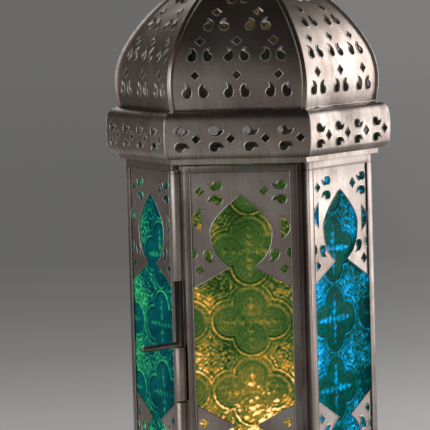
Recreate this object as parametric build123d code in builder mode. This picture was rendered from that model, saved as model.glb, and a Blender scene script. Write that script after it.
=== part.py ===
"""Hexagonal pierced metal lantern: glass panels behind fretwork, a hinged door and an onion dome."""

import os
from math import asin, cos, degrees, hypot, radians, sin, sqrt, tan

from build123d import *

os.makedirs("parts", exist_ok=True)

TAN30 = tan(radians(30))
COS30 = cos(radians(30))
SIDES = ["front", "front_right", "back_right", "back", "back_left", "front_left"]
CORNERS = ["front_right", "right", "back_right", "back_left", "left", "front_left"]

# Driving dimensions, in millimetres. The front side faces -Y and the lantern stands on z = 0.
SHEET = 0.8
FRAME_WIDTH = 67.0
CORNER_GAP = 8.0
FRAME_DEPTH = 4.2
FRAME_STRIP = 4.7
BASE_HEIGHT = 34.0
BODY_HEIGHT = 212.0
COLLAR_HEIGHT = 30.5

# Base and collar bands, as far as they stand out from the panels.
BAND_PROUD = 8.85
LIP_PROUD = 2.05
LIP_HEIGHT = 3.0
LEDGE_DEPTH = 8.0
ROLL_R = 5.0
SHOULDER_R = 6.5
BAND_FLANGE = 6.3
FOOT_HEIGHT = 5.5
PLATE_THICKNESS = 1.5
PLATE_PROUD = 2.7

# Door, panes and posts.
DOOR_GAP = 1.0
DOOR_SIDE_GAP = 0.5
DOOR_STRIP = 4.2
DOOR_DEPTH = 3.9
DOOR_WALL = 2.4
PANE_CLEARANCE = 0.3
GLASS = 2.0
POST_LEG = 9.0
POST_WALL = 1.0

# Hinge with its lift-out pin.
TUBE_R = 3.0
BORE_R = 2.18
PIN_R = 2.1
HINGE_WEB = 1.2
DOOR_WEB = 1.6
DOOR_TUBE_LENGTH = 31.0
TUBE_GAP = 1.0
PIN_WINDOW = 39.0
TUBE_INSET = (11.0, 3.5)
PIN_REACH = (3.5, 25.0)
HANDLE_R = 1.6
HANDLE_GAP = 0.3
HANDLE_LENGTH = 30.0
HANDLE_ANGLE = -129.4

# Pierced holes.
DIAMOND = 3.0
COMMA_BULB = 2.75
COMMA_TAIL = 5.9

# Dome profile as tangent arcs above the collar.
DOME_SETBACK = 1.8
BULGE_Z = 14.3
LOW_R = 60.0
MID_R = 45.0
MID_END = 27.0
HIGH_R = 95.0
HIGH_END = 52.0
NECK_R = 40.0
NECK_END = 10.0
NECK_APOTHEM = 8.5
RIB_WIDTH = 3.2
RIB_PROUD = 0.9
RIB_DEEP = 2.0

# Cap, eye, ring and candle.
CAP_OVERHANG = 3.2
CAP_HEIGHT = 9.0
CAP_RIM = 1.6
CAP_STEP = 2.0
CAP_BULGE = 1.0
CROWN_R = 4.0
EYE_R = 5.0
EYE_WIRE = 1.4
EYE_SHANK = 2.0
SHANK_R = 1.8
RING_R = 22.0
RING_WIRE = 1.8
RING_DROOP = 58.0
CANDLE_R = 20.0
CANDLE_HEIGHT = 72.0
CANDLE_ROUND = 2.0
CUP_CLEARANCE = 0.4
CUP_WALL = 1.1
CUP_FLANGE = 2.5
CUP_SHEET = 1.2
CUP_HEIGHT = 12.0
WICK_R = 0.9
WICK_HEIGHT = 9.0

# Heights and apothems that follow from them.
FRAME_APOTHEM = (FRAME_WIDTH + CORNER_GAP) / (2 * TAN30)
POST_APOTHEM = FRAME_APOTHEM - FRAME_DEPTH
BAND_APOTHEM = FRAME_APOTHEM + BAND_PROUD
LIP_APOTHEM = FRAME_APOTHEM + LIP_PROUD
LEDGE_APOTHEM = FRAME_APOTHEM - LEDGE_DEPTH
ROLL_APOTHEM = BAND_APOTHEM - ROLL_R
FOOT_APOTHEM = BAND_APOTHEM - SHOULDER_R
FLANGE_APOTHEM = FOOT_APOTHEM - BAND_FLANGE
PLATE_APOTHEM = FOOT_APOTHEM + PLATE_PROUD
BAND_SIDE = 2 * BAND_APOTHEM * TAN30
BASE_TOP = BASE_HEIGHT
BODY_TOP = BASE_TOP + BODY_HEIGHT
COLLAR_TOP = BODY_TOP + COLLAR_HEIGHT
PANEL_CENTRE = BASE_TOP + BODY_HEIGHT / 2
DOOR_WIDTH = FRAME_WIDTH - 2 * DOOR_SIDE_GAP
DOOR_HEIGHT = BODY_HEIGHT - 2 * DOOR_GAP
GROOVE_WIDTH = DOOR_WIDTH - 2 * DOOR_WALL
GROOVE_HEIGHT = DOOR_HEIGHT - 2 * DOOR_WALL
PANE_WIDTH = GROOVE_WIDTH - 2 * PANE_CLEARANCE
PANE_HEIGHT = GROOVE_HEIGHT - 2 * PANE_CLEARANCE
FRONT = Plane(origin=(0, -FRAME_APOTHEM, 0), x_dir=(1, 0, 0), z_dir=(0, -1, 0))

DOME_FOOT = FOOT_APOTHEM - DOME_SETBACK
BULGE = DOME_FOOT + LOW_R - sqrt(LOW_R**2 - BULGE_Z**2)
HIGH_TOP = (
    BULGE
    - MID_R * (1 - cos(radians(MID_END)))
    - HIGH_R * (cos(radians(MID_END)) - cos(radians(HIGH_END)))
)
NECK_FOOT = NECK_APOTHEM + NECK_R * (cos(radians(NECK_END)) - cos(radians(HIGH_END)))
SLOPE = (HIGH_TOP - NECK_FOOT) / sin(radians(HIGH_END))


def dome_arcs():
    """The dome's arcs and its one straight slope, from the base up to the neck."""
    low = (BULGE - LOW_R, BULGE_Z, LOW_R, -degrees(asin(BULGE_Z / LOW_R)), 0.0)
    mid = (BULGE - MID_R, BULGE_Z, MID_R, 0.0, MID_END)
    shift = MID_R - HIGH_R
    high_x = mid[0] + shift * cos(radians(MID_END))
    high_z = mid[1] + shift * sin(radians(MID_END))
    high = (high_x, high_z, HIGH_R, MID_END, HIGH_END)
    return low, mid, high


def dome_point(run, out=0.0):
    """Apothem, height and tilt of the dome's outer face at an arc length, moved out along its normal."""
    for x, z, r, first, last in dome_arcs():
        length = r * radians(last - first)
        if run <= length:
            angle = radians(first) + run / r
            return x + (r + out) * cos(angle), z + (r + out) * sin(angle), degrees(angle)
        run -= length
    x, z, r, first, last = dome_arcs()[2]
    angle = radians(last)
    x += r * cos(angle)
    z += r * sin(angle)
    if run <= SLOPE:
        x += out * cos(angle) - run * sin(angle)
        z += out * sin(angle) + run * cos(angle)
        return x, z, last
    x += NECK_R * cos(angle) - SLOPE * sin(angle)
    z += NECK_R * sin(angle) + SLOPE * cos(angle)
    angle -= (run - SLOPE) / NECK_R
    return x - (NECK_R - out) * cos(angle), z - (NECK_R - out) * sin(angle), degrees(angle)


RUNS = [0.0]
for arc in dome_arcs():
    RUNS.append(RUNS[-1] + arc[2] * radians(arc[4] - arc[3]))
RUNS.append(RUNS[-1] + SLOPE)
RUNS.append(RUNS[-1] + NECK_R * radians(HIGH_END - NECK_END))
DOME_TOP = COLLAR_TOP + dome_point(RUNS[-1])[1]


def rib_point(run, out):
    """Radius and height on the dome's corner line at an arc length, moved out along its normal."""
    x, z, tilt = dome_point(run)
    nx = cos(radians(tilt)) * COS30
    nz = sin(radians(tilt))
    scale = out / hypot(nx, nz)
    return x / COS30 + nx * scale, z + nz * scale


def comma_points(u, v, turn, flip):
    """Outline of one pierced comma: a bulb at (u, v) with a tail, turned in degrees, flip 1 or -1."""
    local = [(0.36 * COMMA_BULB, COMMA_TAIL), (-0.62 * COMMA_BULB, 0.6 * COMMA_TAIL)]
    for step in (168, 208, 248, 288, 328, 8, 45, 78):
        local.append((COMMA_BULB * cos(radians(step)), COMMA_BULB * sin(radians(step))))
    a = radians(turn)
    points = []
    for x, y in local:
        x *= flip
        points.append((u + x * cos(a) - y * sin(a), v + x * sin(a) + y * cos(a)))
    return points


def pierce(commas, diamonds):
    """Add the comma and diamond holes to the sketch being built."""
    for u, v, turn, flip in commas:
        Polygon(*comma_points(u, v, turn, flip), align=None)
    for u, v in diamonds:
        Polygon((u - DIAMOND, v), (u, v + DIAMOND), (u + DIAMOND, v), (u, v - DIAMOND), align=None)


def save(piece, name):
    """Label one piece and write its file."""
    piece.label = name
    export_step(piece, f"parts/{name}.step")


def save_six(piece, stem, names, first=0):
    """Write a piece and its copies turned in sixths about the lantern's axis."""
    for step in range(first, 6):
        with BuildPart() as copy:
            add(piece, rotation=(0, 0, 60 * step))
        save(copy.part, f"{stem}_{names[step]}")


def sixth(back=0.0):
    """Outline of the front sixth of the plan, set back from the corner planes."""
    apex = -2 * back
    far = 2 * BAND_APOTHEM
    return [(0, apex), (far * TAN30, apex - far), (-far * TAN30, apex - far)]


# Base plate, the face that the lantern stands on.
with BuildPart() as base_plate:
    with BuildSketch(Plane.XY):
        RegularPolygon(radius=PLATE_APOTHEM / COS30, side_count=6)
    extrude(amount=PLATE_THICKNESS)
save(base_plate.part, "base_plate")

# Base sides: a bulging band with a foot below and a ledge on top for the posts and frames.
BASE_ROLL_Z = BASE_TOP - LIP_HEIGHT - ROLL_R
BASE_SHOULDER_Z = FOOT_HEIGHT + SHOULDER_R
HOLE_PITCH = (BAND_SIDE - 5.2) / 4
with BuildPart() as base_side:
    with BuildSketch(Plane.YZ):
        with BuildLine():
            Polyline(
                (-ROLL_APOTHEM, BASE_TOP - LIP_HEIGHT - SHEET),
                (-LIP_APOTHEM + SHEET, BASE_TOP - LIP_HEIGHT - SHEET),
                (-LIP_APOTHEM + SHEET, BASE_TOP - SHEET),
                (-LEDGE_APOTHEM, BASE_TOP - SHEET),
                (-LEDGE_APOTHEM, BASE_TOP),
                (-LIP_APOTHEM, BASE_TOP),
                (-LIP_APOTHEM, BASE_TOP - LIP_HEIGHT),
                (-ROLL_APOTHEM, BASE_TOP - LIP_HEIGHT),
            )
            CenterArc((-ROLL_APOTHEM, BASE_ROLL_Z), ROLL_R, 90, 90)
            Line((-BAND_APOTHEM, BASE_ROLL_Z), (-BAND_APOTHEM, BASE_SHOULDER_Z))
            CenterArc((-FOOT_APOTHEM, BASE_SHOULDER_Z), SHOULDER_R, 180, 90)
            Polyline(
                (-FOOT_APOTHEM, FOOT_HEIGHT),
                (-FOOT_APOTHEM, PLATE_THICKNESS),
                (-FLANGE_APOTHEM, PLATE_THICKNESS),
                (-FLANGE_APOTHEM, PLATE_THICKNESS + SHEET),
                (-FOOT_APOTHEM + SHEET, PLATE_THICKNESS + SHEET),
                (-FOOT_APOTHEM + SHEET, FOOT_HEIGHT + SHEET),
                (-FOOT_APOTHEM, FOOT_HEIGHT + SHEET),
            )
            CenterArc((-FOOT_APOTHEM, BASE_SHOULDER_Z), SHOULDER_R - SHEET, 180, 90)
            Line((-BAND_APOTHEM + SHEET, BASE_SHOULDER_Z), (-BAND_APOTHEM + SHEET, BASE_ROLL_Z))
            CenterArc((-ROLL_APOTHEM, BASE_ROLL_Z), ROLL_R - SHEET, 90, 90)
        make_face()
    extrude(amount=BAND_APOTHEM, both=True)
    with BuildSketch(Plane.XY):
        Polygon(*sixth(), align=None)
    extrude(amount=COLLAR_TOP, mode=Mode.INTERSECT)
    with BuildSketch(FRONT.offset(BAND_PROUD + SHEET)):
        row = (BASE_ROLL_Z + BASE_SHOULDER_Z) / 2
        pierce([], [(HOLE_PITCH * (i - 1.5), row) for i in range(4)])
    extrude(amount=-3 * SHEET, mode=Mode.SUBTRACT)
save_six(base_side.part, "base_side", SIDES)

# Collar sides: the same band the other way up, with two rows of commas and a row of diamonds.
COLLAR_ROLL_Z = BODY_TOP + LIP_HEIGHT + ROLL_R
COLLAR_SHOULDER_Z = COLLAR_TOP - SHOULDER_R
COLLAR_ROW = (COLLAR_ROLL_Z + COLLAR_SHOULDER_Z) / 2 + 0.4
ROW_HALF = 4.4
COLLAR_COMMAS = []
COLLAR_DIAMONDS = []
for i in range(4):
    column = HOLE_PITCH * (i - 1.5) - 3.4
    COLLAR_COMMAS.append((column, COLLAR_ROW + ROW_HALF, -90, -1))
    COLLAR_COMMAS.append((column, COLLAR_ROW - ROW_HALF, -90, 1))
    COLLAR_DIAMONDS.append((column + HOLE_PITCH / 2 - 0.4, COLLAR_ROW))

with BuildPart() as collar_side:
    with BuildSketch(Plane.YZ):
        with BuildLine():
            Polyline(
                (-ROLL_APOTHEM, BODY_TOP + LIP_HEIGHT),
                (-LIP_APOTHEM, BODY_TOP + LIP_HEIGHT),
                (-LIP_APOTHEM, BODY_TOP),
                (-LEDGE_APOTHEM, BODY_TOP),
                (-LEDGE_APOTHEM, BODY_TOP + SHEET),
                (-LIP_APOTHEM + SHEET, BODY_TOP + SHEET),
                (-LIP_APOTHEM + SHEET, BODY_TOP + LIP_HEIGHT + SHEET),
                (-ROLL_APOTHEM, BODY_TOP + LIP_HEIGHT + SHEET),
            )
            CenterArc((-ROLL_APOTHEM, COLLAR_ROLL_Z), ROLL_R - SHEET, 180, 90)
            Line((-BAND_APOTHEM + SHEET, COLLAR_ROLL_Z), (-BAND_APOTHEM + SHEET, COLLAR_SHOULDER_Z))
            CenterArc((-FOOT_APOTHEM, COLLAR_SHOULDER_Z), SHOULDER_R - SHEET, 90, 90)
            Polyline(
                (-FOOT_APOTHEM, COLLAR_TOP - SHEET),
                (-FLANGE_APOTHEM, COLLAR_TOP - SHEET),
                (-FLANGE_APOTHEM, COLLAR_TOP),
                (-FOOT_APOTHEM, COLLAR_TOP),
            )
            CenterArc((-FOOT_APOTHEM, COLLAR_SHOULDER_Z), SHOULDER_R, 90, 90)
            Line((-BAND_APOTHEM, COLLAR_SHOULDER_Z), (-BAND_APOTHEM, COLLAR_ROLL_Z))
            CenterArc((-ROLL_APOTHEM, COLLAR_ROLL_Z), ROLL_R, 180, 90)
        make_face()
    extrude(amount=BAND_APOTHEM, both=True)
    with BuildSketch(Plane.XY):
        Polygon(*sixth(), align=None)
    extrude(amount=2 * COLLAR_TOP, mode=Mode.INTERSECT)
    with BuildSketch(FRONT.offset(BAND_PROUD + SHEET)):
        pierce(COLLAR_COMMAS, COLLAR_DIAMONDS)
    extrude(amount=-3 * SHEET, mode=Mode.SUBTRACT)
save_six(collar_side.part, "collar_side", SIDES)

# Corner posts: folded strips between the base ledge and the collar.
POST_CORNER = POST_APOTHEM * TAN30
with BuildPart() as corner_post:
    with BuildSketch(Plane.XY.offset(BASE_TOP)):
        with BuildLine():
            inner = (POST_APOTHEM - POST_WALL) * TAN30
            inner_y = -POST_APOTHEM + POST_WALL
            far_x = POST_CORNER + POST_LEG / 2
            far_y = -POST_APOTHEM + POST_LEG * COS30
            Polyline(
                (POST_CORNER - POST_LEG, -POST_APOTHEM),
                (POST_CORNER, -POST_APOTHEM),
                (far_x, far_y),
                (far_x - POST_WALL * COS30, far_y + POST_WALL / 2),
                (inner, inner_y),
                (POST_CORNER - POST_LEG, inner_y),
                close=True,
            )
        make_face()
    extrude(amount=BODY_HEIGHT)
save_six(corner_post.part, "corner_post", CORNERS)

# Panel frames: channels round the fretwork and the glass.
FRAME_FLANGE = (FRAME_DEPTH - SHEET - GLASS) / 2
DOOR_FLANGE = (DOOR_DEPTH - SHEET - GLASS) / 2

with BuildPart() as panel_frame:
    with BuildSketch(FRONT):
        with Locations((0, PANEL_CENTRE)):
            Rectangle(FRAME_WIDTH, BODY_HEIGHT)
            Rectangle(
                FRAME_WIDTH - 2 * FRAME_STRIP,
                BODY_HEIGHT - 2 * FRAME_STRIP,
                mode=Mode.SUBTRACT,
            )
    extrude(amount=-FRAME_DEPTH)
    with BuildSketch(FRONT.offset(-FRAME_FLANGE)):
        with Locations((0, PANEL_CENTRE)):
            Rectangle(GROOVE_WIDTH, GROOVE_HEIGHT)
    extrude(amount=-SHEET - GLASS, mode=Mode.SUBTRACT)
save_six(panel_frame.part, "panel_frame", SIDES, first=1)

with BuildPart() as door_frame:
    with BuildSketch(FRONT):
        with Locations((0, PANEL_CENTRE)):
            Rectangle(DOOR_WIDTH, DOOR_HEIGHT)
            Rectangle(
                DOOR_WIDTH - 2 * DOOR_STRIP,
                DOOR_HEIGHT - 2 * DOOR_STRIP,
                mode=Mode.SUBTRACT,
            )
    extrude(amount=-DOOR_DEPTH)
    with BuildSketch(FRONT.offset(-DOOR_FLANGE)):
        with Locations((0, PANEL_CENTRE)):
            Rectangle(GROOVE_WIDTH, GROOVE_HEIGHT)
    extrude(amount=-SHEET - GLASS, mode=Mode.SUBTRACT)
save(door_frame.part, "door_frame")

# Fretwork sheets: a waisted window and the small pierced ornament, the same above and below the middle.
# Distances across are from the pane's side edge, and those up are from its top or bottom edge.
HALF_WIDTH = PANE_WIDTH / 2
HALF_HEIGHT = PANE_HEIGHT / 2
WINDOW_HALF = HALF_WIDTH + 1.0
SHOULDER = HALF_HEIGHT - 70.5
WAIST = (6.5, HALF_HEIGHT - 56.2)
ONION_LOW = (HALF_WIDTH - 15.4, HALF_HEIGHT - 49.3)
ONION = (HALF_WIDTH - 12.4, HALF_HEIGHT - 38.8)
ONION_HIGH = (HALF_WIDTH - 15.7, HALF_HEIGHT - 29.2)
ONION_NECK = (6.6, HALF_HEIGHT - 22.6)
ONION_POINT = (2.7, HALF_HEIGHT - 20.3)
ONION_TIP = HALF_HEIGHT - 16.7
CORNER_ROW = HALF_HEIGHT - 13.9
CORNER_ROW_HALF = 4.1
TAIL_OFFSET = 10.6
SLIT_X = HALF_WIDTH - 7.3
SLIT_BULGE = 5.4
SLIT_HALF = 7.4
SLIT_ROW = HALF_HEIGHT - 33.9
NOTCH_X = HALF_WIDTH - 1.1
NOTCH_R = 3.6
NOTCH_ROW = HALF_HEIGHT - 50.5
SIDE_DIAMOND = (HALF_WIDTH - 5.7, HALF_HEIGHT - 59.9)
SIDE_COMMA = (HALF_WIDTH - 10.9, HALF_HEIGHT - 48.5)
FRET_COMMAS = []
FRET_DIAMONDS = []
FRET_SLITS = []
for up in (1, -1):
    row = PANEL_CENTRE + up * CORNER_ROW
    for left in (6.9 - HALF_WIDTH, HALF_WIDTH - 15.9):
        FRET_DIAMONDS.append((left, row))
        FRET_COMMAS.append((left + TAIL_OFFSET, row + up * CORNER_ROW_HALF, 90, up))
        FRET_COMMAS.append((left + TAIL_OFFSET, row - up * CORNER_ROW_HALF, 90, -up))
    for side in (1, -1):
        FRET_DIAMONDS.append((side * SIDE_DIAMOND[0], PANEL_CENTRE + up * SIDE_DIAMOND[1]))
        turn = 90 + 90 * up - 30 * side * up
        FRET_COMMAS.append((side * SIDE_COMMA[0], PANEL_CENTRE + up * SIDE_COMMA[1], turn, side * up))
        FRET_SLITS.append((side, up))

with BuildPart() as fretwork:
    with BuildSketch(FRONT):
        with Locations((0, PANEL_CENTRE)):
            Rectangle(PANE_WIDTH, PANE_HEIGHT)
    extrude(amount=-SHEET)
    with BuildSketch(FRONT):
        with BuildLine():
            for up in (1, -1):
                for side in (1, -1):
                    edge = (side * WINDOW_HALF, PANEL_CENTRE)
                    shoulder = (side * WINDOW_HALF, PANEL_CENTRE + up * SHOULDER)
                    waist = (side * WAIST[0], PANEL_CENTRE + up * WAIST[1])
                    low = (side * ONION_LOW[0], PANEL_CENTRE + up * ONION_LOW[1])
                    belly = (side * ONION[0], PANEL_CENTRE + up * ONION[1])
                    high = (side * ONION_HIGH[0], PANEL_CENTRE + up * ONION_HIGH[1])
                    neck = (side * ONION_NECK[0], PANEL_CENTRE + up * ONION_NECK[1])
                    point = (side * ONION_POINT[0], PANEL_CENTRE + up * ONION_POINT[1])
                    tip = (0, PANEL_CENTRE + up * ONION_TIP)
                    Polyline(edge, shoulder, waist)
                    ThreePointArc(waist, low, belly)
                    ThreePointArc(belly, high, neck)
                    ThreePointArc(neck, point, tip)
        make_face()
    extrude(amount=-SHEET, mode=Mode.SUBTRACT)
    with BuildSketch(FRONT):
        pierce(FRET_COMMAS, FRET_DIAMONDS)
        for side, up in FRET_SLITS:
            with BuildLine():
                middle = PANEL_CENTRE + up * SLIT_ROW
                Line((side * SLIT_X, middle - SLIT_HALF), (side * SLIT_X, middle + SLIT_HALF))
                ThreePointArc(
                    (side * SLIT_X, middle + SLIT_HALF),
                    (side * (SLIT_X + SLIT_BULGE), middle),
                    (side * SLIT_X, middle - SLIT_HALF),
                )
            make_face()
            with BuildLine():
                middle = PANEL_CENTRE + up * NOTCH_ROW
                Line((side * NOTCH_X, middle - NOTCH_R), (side * NOTCH_X, middle + NOTCH_R))
                ThreePointArc(
                    (side * NOTCH_X, middle + NOTCH_R),
                    (side * (NOTCH_X - NOTCH_R), middle),
                    (side * NOTCH_X, middle - NOTCH_R),
                )
            make_face()
    extrude(amount=-SHEET, mode=Mode.SUBTRACT)

with BuildPart() as glass_pane:
    with BuildSketch(FRONT.offset(-SHEET)):
        with Locations((0, PANEL_CENTRE)):
            Rectangle(PANE_WIDTH, PANE_HEIGHT)
    extrude(amount=-GLASS)

with BuildPart() as fixed_fretwork:
    with Locations((0, FRAME_FLANGE, 0)):
        add(fretwork.part)
save_six(fixed_fretwork.part, "fretwork", SIDES, first=1)

with BuildPart() as fixed_glass:
    with Locations((0, FRAME_FLANGE, 0)):
        add(glass_pane.part)
save_six(fixed_glass.part, "glass_pane", SIDES, first=1)

with BuildPart() as door_fretwork:
    with Locations((0, DOOR_FLANGE, 0)):
        add(fretwork.part)
save(door_fretwork.part, "door_fretwork")

with BuildPart() as door_glass:
    with Locations((0, DOOR_FLANGE, 0)):
        add(glass_pane.part)
save(door_glass.part, "door_glass")

# Hinge: tubes soldered to the front left post, a tube on the door between them, and the pin.
HINGE_X = -FRAME_APOTHEM * TAN30
HINGE_Y = -FRAME_APOTHEM
DOOR_TUBE = (PANEL_CENTRE - DOOR_TUBE_LENGTH, PANEL_CENTRE)
LOWER_TUBE = (BASE_TOP + TUBE_INSET[0], DOOR_TUBE[0] - TUBE_GAP)
UPPER_TUBE = (DOOR_TUBE[1] + PIN_WINDOW, BODY_TOP - TUBE_INSET[1])
PIN_Z = (DOOR_TUBE[0] - PIN_REACH[0], UPPER_TUBE[0] + PIN_REACH[1])

with BuildPart() as hinge_tubes:
    for low, high in (LOWER_TUBE, UPPER_TUBE):
        with BuildSketch(Plane.XY.offset(low)):
            with BuildLine():
                Polyline(
                    (HINGE_X, HINGE_Y),
                    (-POST_CORNER + HINGE_WEB, -POST_APOTHEM),
                    (-POST_CORNER, -POST_APOTHEM),
                    (-POST_CORNER - HINGE_WEB / 2, -POST_APOTHEM + HINGE_WEB * COS30),
                    close=True,
                )
            make_face()
            with Locations((HINGE_X, HINGE_Y)):
                Circle(TUBE_R)
                Circle(BORE_R, mode=Mode.SUBTRACT)
        extrude(amount=high - low)
save(hinge_tubes.part, "hinge_tubes")

with BuildPart() as door_hinge_tube:
    with BuildSketch(Plane.XY.offset(DOOR_TUBE[0])):
        with BuildLine():
            Polyline(
                (HINGE_X, HINGE_Y),
                (-DOOR_WIDTH / 2, HINGE_Y),
                (-DOOR_WIDTH / 2, HINGE_Y + DOOR_WEB),
                (HINGE_X, HINGE_Y + DOOR_WEB),
                close=True,
            )
        make_face()
        with Locations((HINGE_X, HINGE_Y)):
            Circle(TUBE_R)
            Circle(BORE_R, mode=Mode.SUBTRACT)
    extrude(amount=DOOR_TUBE[1] - DOOR_TUBE[0])
save(door_hinge_tube.part, "door_hinge_tube")

HANDLE_Z = DOOR_TUBE[1] + HANDLE_R + HANDLE_GAP
HANDLE_DIR = (cos(radians(HANDLE_ANGLE)), sin(radians(HANDLE_ANGLE)), 0)
with BuildPart() as hinge_pin:
    with BuildSketch(Plane.XY.offset(PIN_Z[0])):
        with Locations((HINGE_X, HINGE_Y)):
            Circle(PIN_R)
    extrude(amount=PIN_Z[1] - PIN_Z[0])
    with BuildSketch(Plane(origin=(HINGE_X, HINGE_Y, HANDLE_Z), x_dir=(0, 0, 1), z_dir=HANDLE_DIR)):
        Circle(HANDLE_R)
    extrude(amount=HANDLE_LENGTH)
    fillet(hinge_pin.edges().group_by(Axis(origin=(0, 0, 0), direction=HANDLE_DIR))[-1], HANDLE_R * 0.6)
save(hinge_pin.part, "hinge_pin")

# Dome gores: sheet bent in one direction only, with rows of pierced groups. Each row has the arc lengths
# of its commas and diamonds, half the gap between two commas, and how many groups it has how far from
# the gore's edges.
GORE_ROWS = [
    (12.5, 22.3, 4.8, 3, 12.9),
    (34.0, 43.4, 4.6, 3, 13.6),
    (54.5, 63.9, 4.6, 2, 16.8),
    (74.5, 83.5, 3.8, 1, 20.0),
]


def gore_centres(run, count, margin):
    """Places across the gore of a row's groups, evenly from margin to margin."""
    if count == 1:
        return [0.0]
    reach = (dome_point(run)[0] - RIB_WIDTH) * TAN30 - margin
    return [reach * (2 * i / (count - 1) - 1) for i in range(count)]


with BuildPart() as dome_gore:
    with BuildSketch(Plane.YZ):
        with BuildLine():
            outer_ends = []
            inner_ends = []
            for i in range(5):
                ends = []
                for out in (0.0, -SHEET):
                    points = []
                    for part in (0.0, 0.5, 1.0):
                        run = RUNS[i] + (RUNS[i + 1] - RUNS[i]) * part
                        x, z, tilt = dome_point(run, out)
                        if run in (RUNS[0], RUNS[-1]):
                            x = dome_point(run)[0] + out / cos(radians(tilt))
                            z = dome_point(run)[1]
                        points.append((-x, COLLAR_TOP + z))
                    ends.append(points)
                    if i == 3:
                        Line(points[0], points[2])
                    else:
                        ThreePointArc(*points)
                outer_ends += [ends[0][0], ends[0][2]]
                inner_ends += [ends[1][0], ends[1][2]]
            Line(outer_ends[0], inner_ends[0])
            Line(outer_ends[-1], inner_ends[-1])
        make_face()
    extrude(amount=BAND_APOTHEM, both=True)
    with BuildSketch(Plane.XY):
        Polygon(*sixth(RIB_WIDTH / 2), align=None)
    extrude(amount=2 * COLLAR_TOP, mode=Mode.INTERSECT)
    for comma_run, diamond_run, half, count, margin in GORE_ROWS:
        centres = gore_centres(comma_run, count, margin)
        for run in (comma_run, diamond_run):
            x, z, tilt = dome_point(run)
            normal = (0, -cos(radians(tilt)), sin(radians(tilt)))
            face = Plane(origin=(0, -x, COLLAR_TOP + z), x_dir=(1, 0, 0), z_dir=normal)
            with BuildSketch(face.offset(3)):
                if run == comma_run:
                    drop = (COMMA_BULB - COMMA_TAIL) / 2
                    left = [(c - half, drop, 0, -1) for c in centres]
                    right = [(c + half, drop, 0, 1) for c in centres]
                    pierce(left + right, [])
                else:
                    pierce([], [(c, 0) for c in centres])
            extrude(amount=-6, mode=Mode.SUBTRACT)
save_six(dome_gore.part, "dome_gore", SIDES)

# Dome ribs: standing seams between the gores, built in the right-hand corner plane.
with BuildPart() as dome_rib:
    with BuildSketch(Plane.XZ):
        with BuildLine():
            tops = []
            bottoms = []
            for out in (RIB_PROUD, -RIB_DEEP):
                for i in range(5):
                    points = []
                    for part in (0.0, 0.5, 1.0):
                        run = RUNS[i] + (RUNS[i + 1] - RUNS[i]) * part
                        x, z = rib_point(run, out)
                        if run in (RUNS[0], RUNS[-1]):
                            x = dome_point(run)[0] / COS30 + out / cos(radians(dome_point(run)[2]))
                            z = dome_point(run)[1]
                        points.append((x, COLLAR_TOP + z))
                    if i == 3:
                        Line(points[0], points[2])
                    else:
                        ThreePointArc(*points)
                    if i == 0:
                        bottoms.append(points[0])
                    if i == 4:
                        tops.append(points[2])
            Line(*bottoms)
            Line(*tops)
        make_face()
    extrude(amount=RIB_WIDTH / 2, both=True)
with BuildPart() as first_rib:
    add(dome_rib.part, rotation=(0, 0, -60))
save_six(first_rib.part, "dome_rib", CORNERS)

# Cap over the top of the gores, with the hanging eye and ring.
CAP_R = NECK_APOTHEM / COS30 + CAP_OVERHANG
CAP_TOP = DOME_TOP + CAP_HEIGHT
with BuildPart() as dome_cap:
    with BuildSketch(Plane.XZ):
        with BuildLine():
            rim = (CAP_R - CAP_STEP, DOME_TOP + CAP_RIM)
            crown = (CROWN_R, CAP_TOP)
            flank = ((rim[0] + crown[0]) / 2 + CAP_BULGE, (rim[1] + crown[1]) / 2 + CAP_BULGE)
            Polyline(crown, (0, CAP_TOP), (0, DOME_TOP), (CAP_R, DOME_TOP), (CAP_R, rim[1]), rim)
            ThreePointArc(rim, flank, crown)
        make_face()
    revolve(axis=Axis.Z)
save(dome_cap.part, "dome_cap")

EYE_Z = CAP_TOP + EYE_SHANK / 2 + EYE_WIRE + EYE_R
with BuildPart() as hanging_eye:
    with BuildSketch(Plane.XY.offset(CAP_TOP)):
        Circle(SHANK_R)
    extrude(amount=EYE_SHANK)
    with Locations(Location((0, 0, EYE_Z), (0, 90, 0))):
        Torus(EYE_R, EYE_WIRE)
save(hanging_eye.part, "hanging_eye")

DROOP = radians(RING_DROOP)
with BuildPart() as hanging_ring:
    with Locations(Location((0, RING_R * cos(DROOP), EYE_Z - RING_R * sin(DROOP)), (-RING_DROOP, 0, 0))):
        Torus(RING_R, RING_WIRE)
save(hanging_ring.part, "hanging_ring")

# Candle in its cup on the base plate.
CUP_FLOOR = PLATE_THICKNESS + CUP_SHEET
CUP_INNER = CANDLE_R + CUP_CLEARANCE
CUP_OUTER = CUP_INNER + CUP_WALL
with BuildPart() as candle_cup:
    with BuildSketch(Plane.XZ):
        with BuildLine():
            Polyline(
                (0, PLATE_THICKNESS),
                (CUP_OUTER + CUP_FLANGE, PLATE_THICKNESS),
                (CUP_OUTER + CUP_FLANGE, CUP_FLOOR),
                (CUP_OUTER, CUP_FLOOR),
                (CUP_OUTER, CUP_FLOOR + CUP_HEIGHT),
                (CUP_INNER, CUP_FLOOR + CUP_HEIGHT),
                (CUP_INNER, CUP_FLOOR),
                (0, CUP_FLOOR),
                close=True,
            )
        make_face()
    revolve(axis=Axis.Z)
save(candle_cup.part, "candle_cup")

with BuildPart() as candle:
    with BuildSketch(Plane.XY.offset(CUP_FLOOR)):
        Circle(CANDLE_R)
    extrude(amount=CANDLE_HEIGHT)
    fillet(candle.edges().sort_by(Axis.Z)[-1:], CANDLE_ROUND)
save(candle.part, "candle")

with BuildPart() as wick:
    with BuildSketch(Plane.XY.offset(CUP_FLOOR + CANDLE_HEIGHT)):
        Circle(WICK_R)
    extrude(amount=WICK_HEIGHT)
save(wick.part, "wick")
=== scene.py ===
"""Dresses a hexagonal pierced lantern: silver sheet, pressed glass, hinge, candle and a small studio."""

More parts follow.
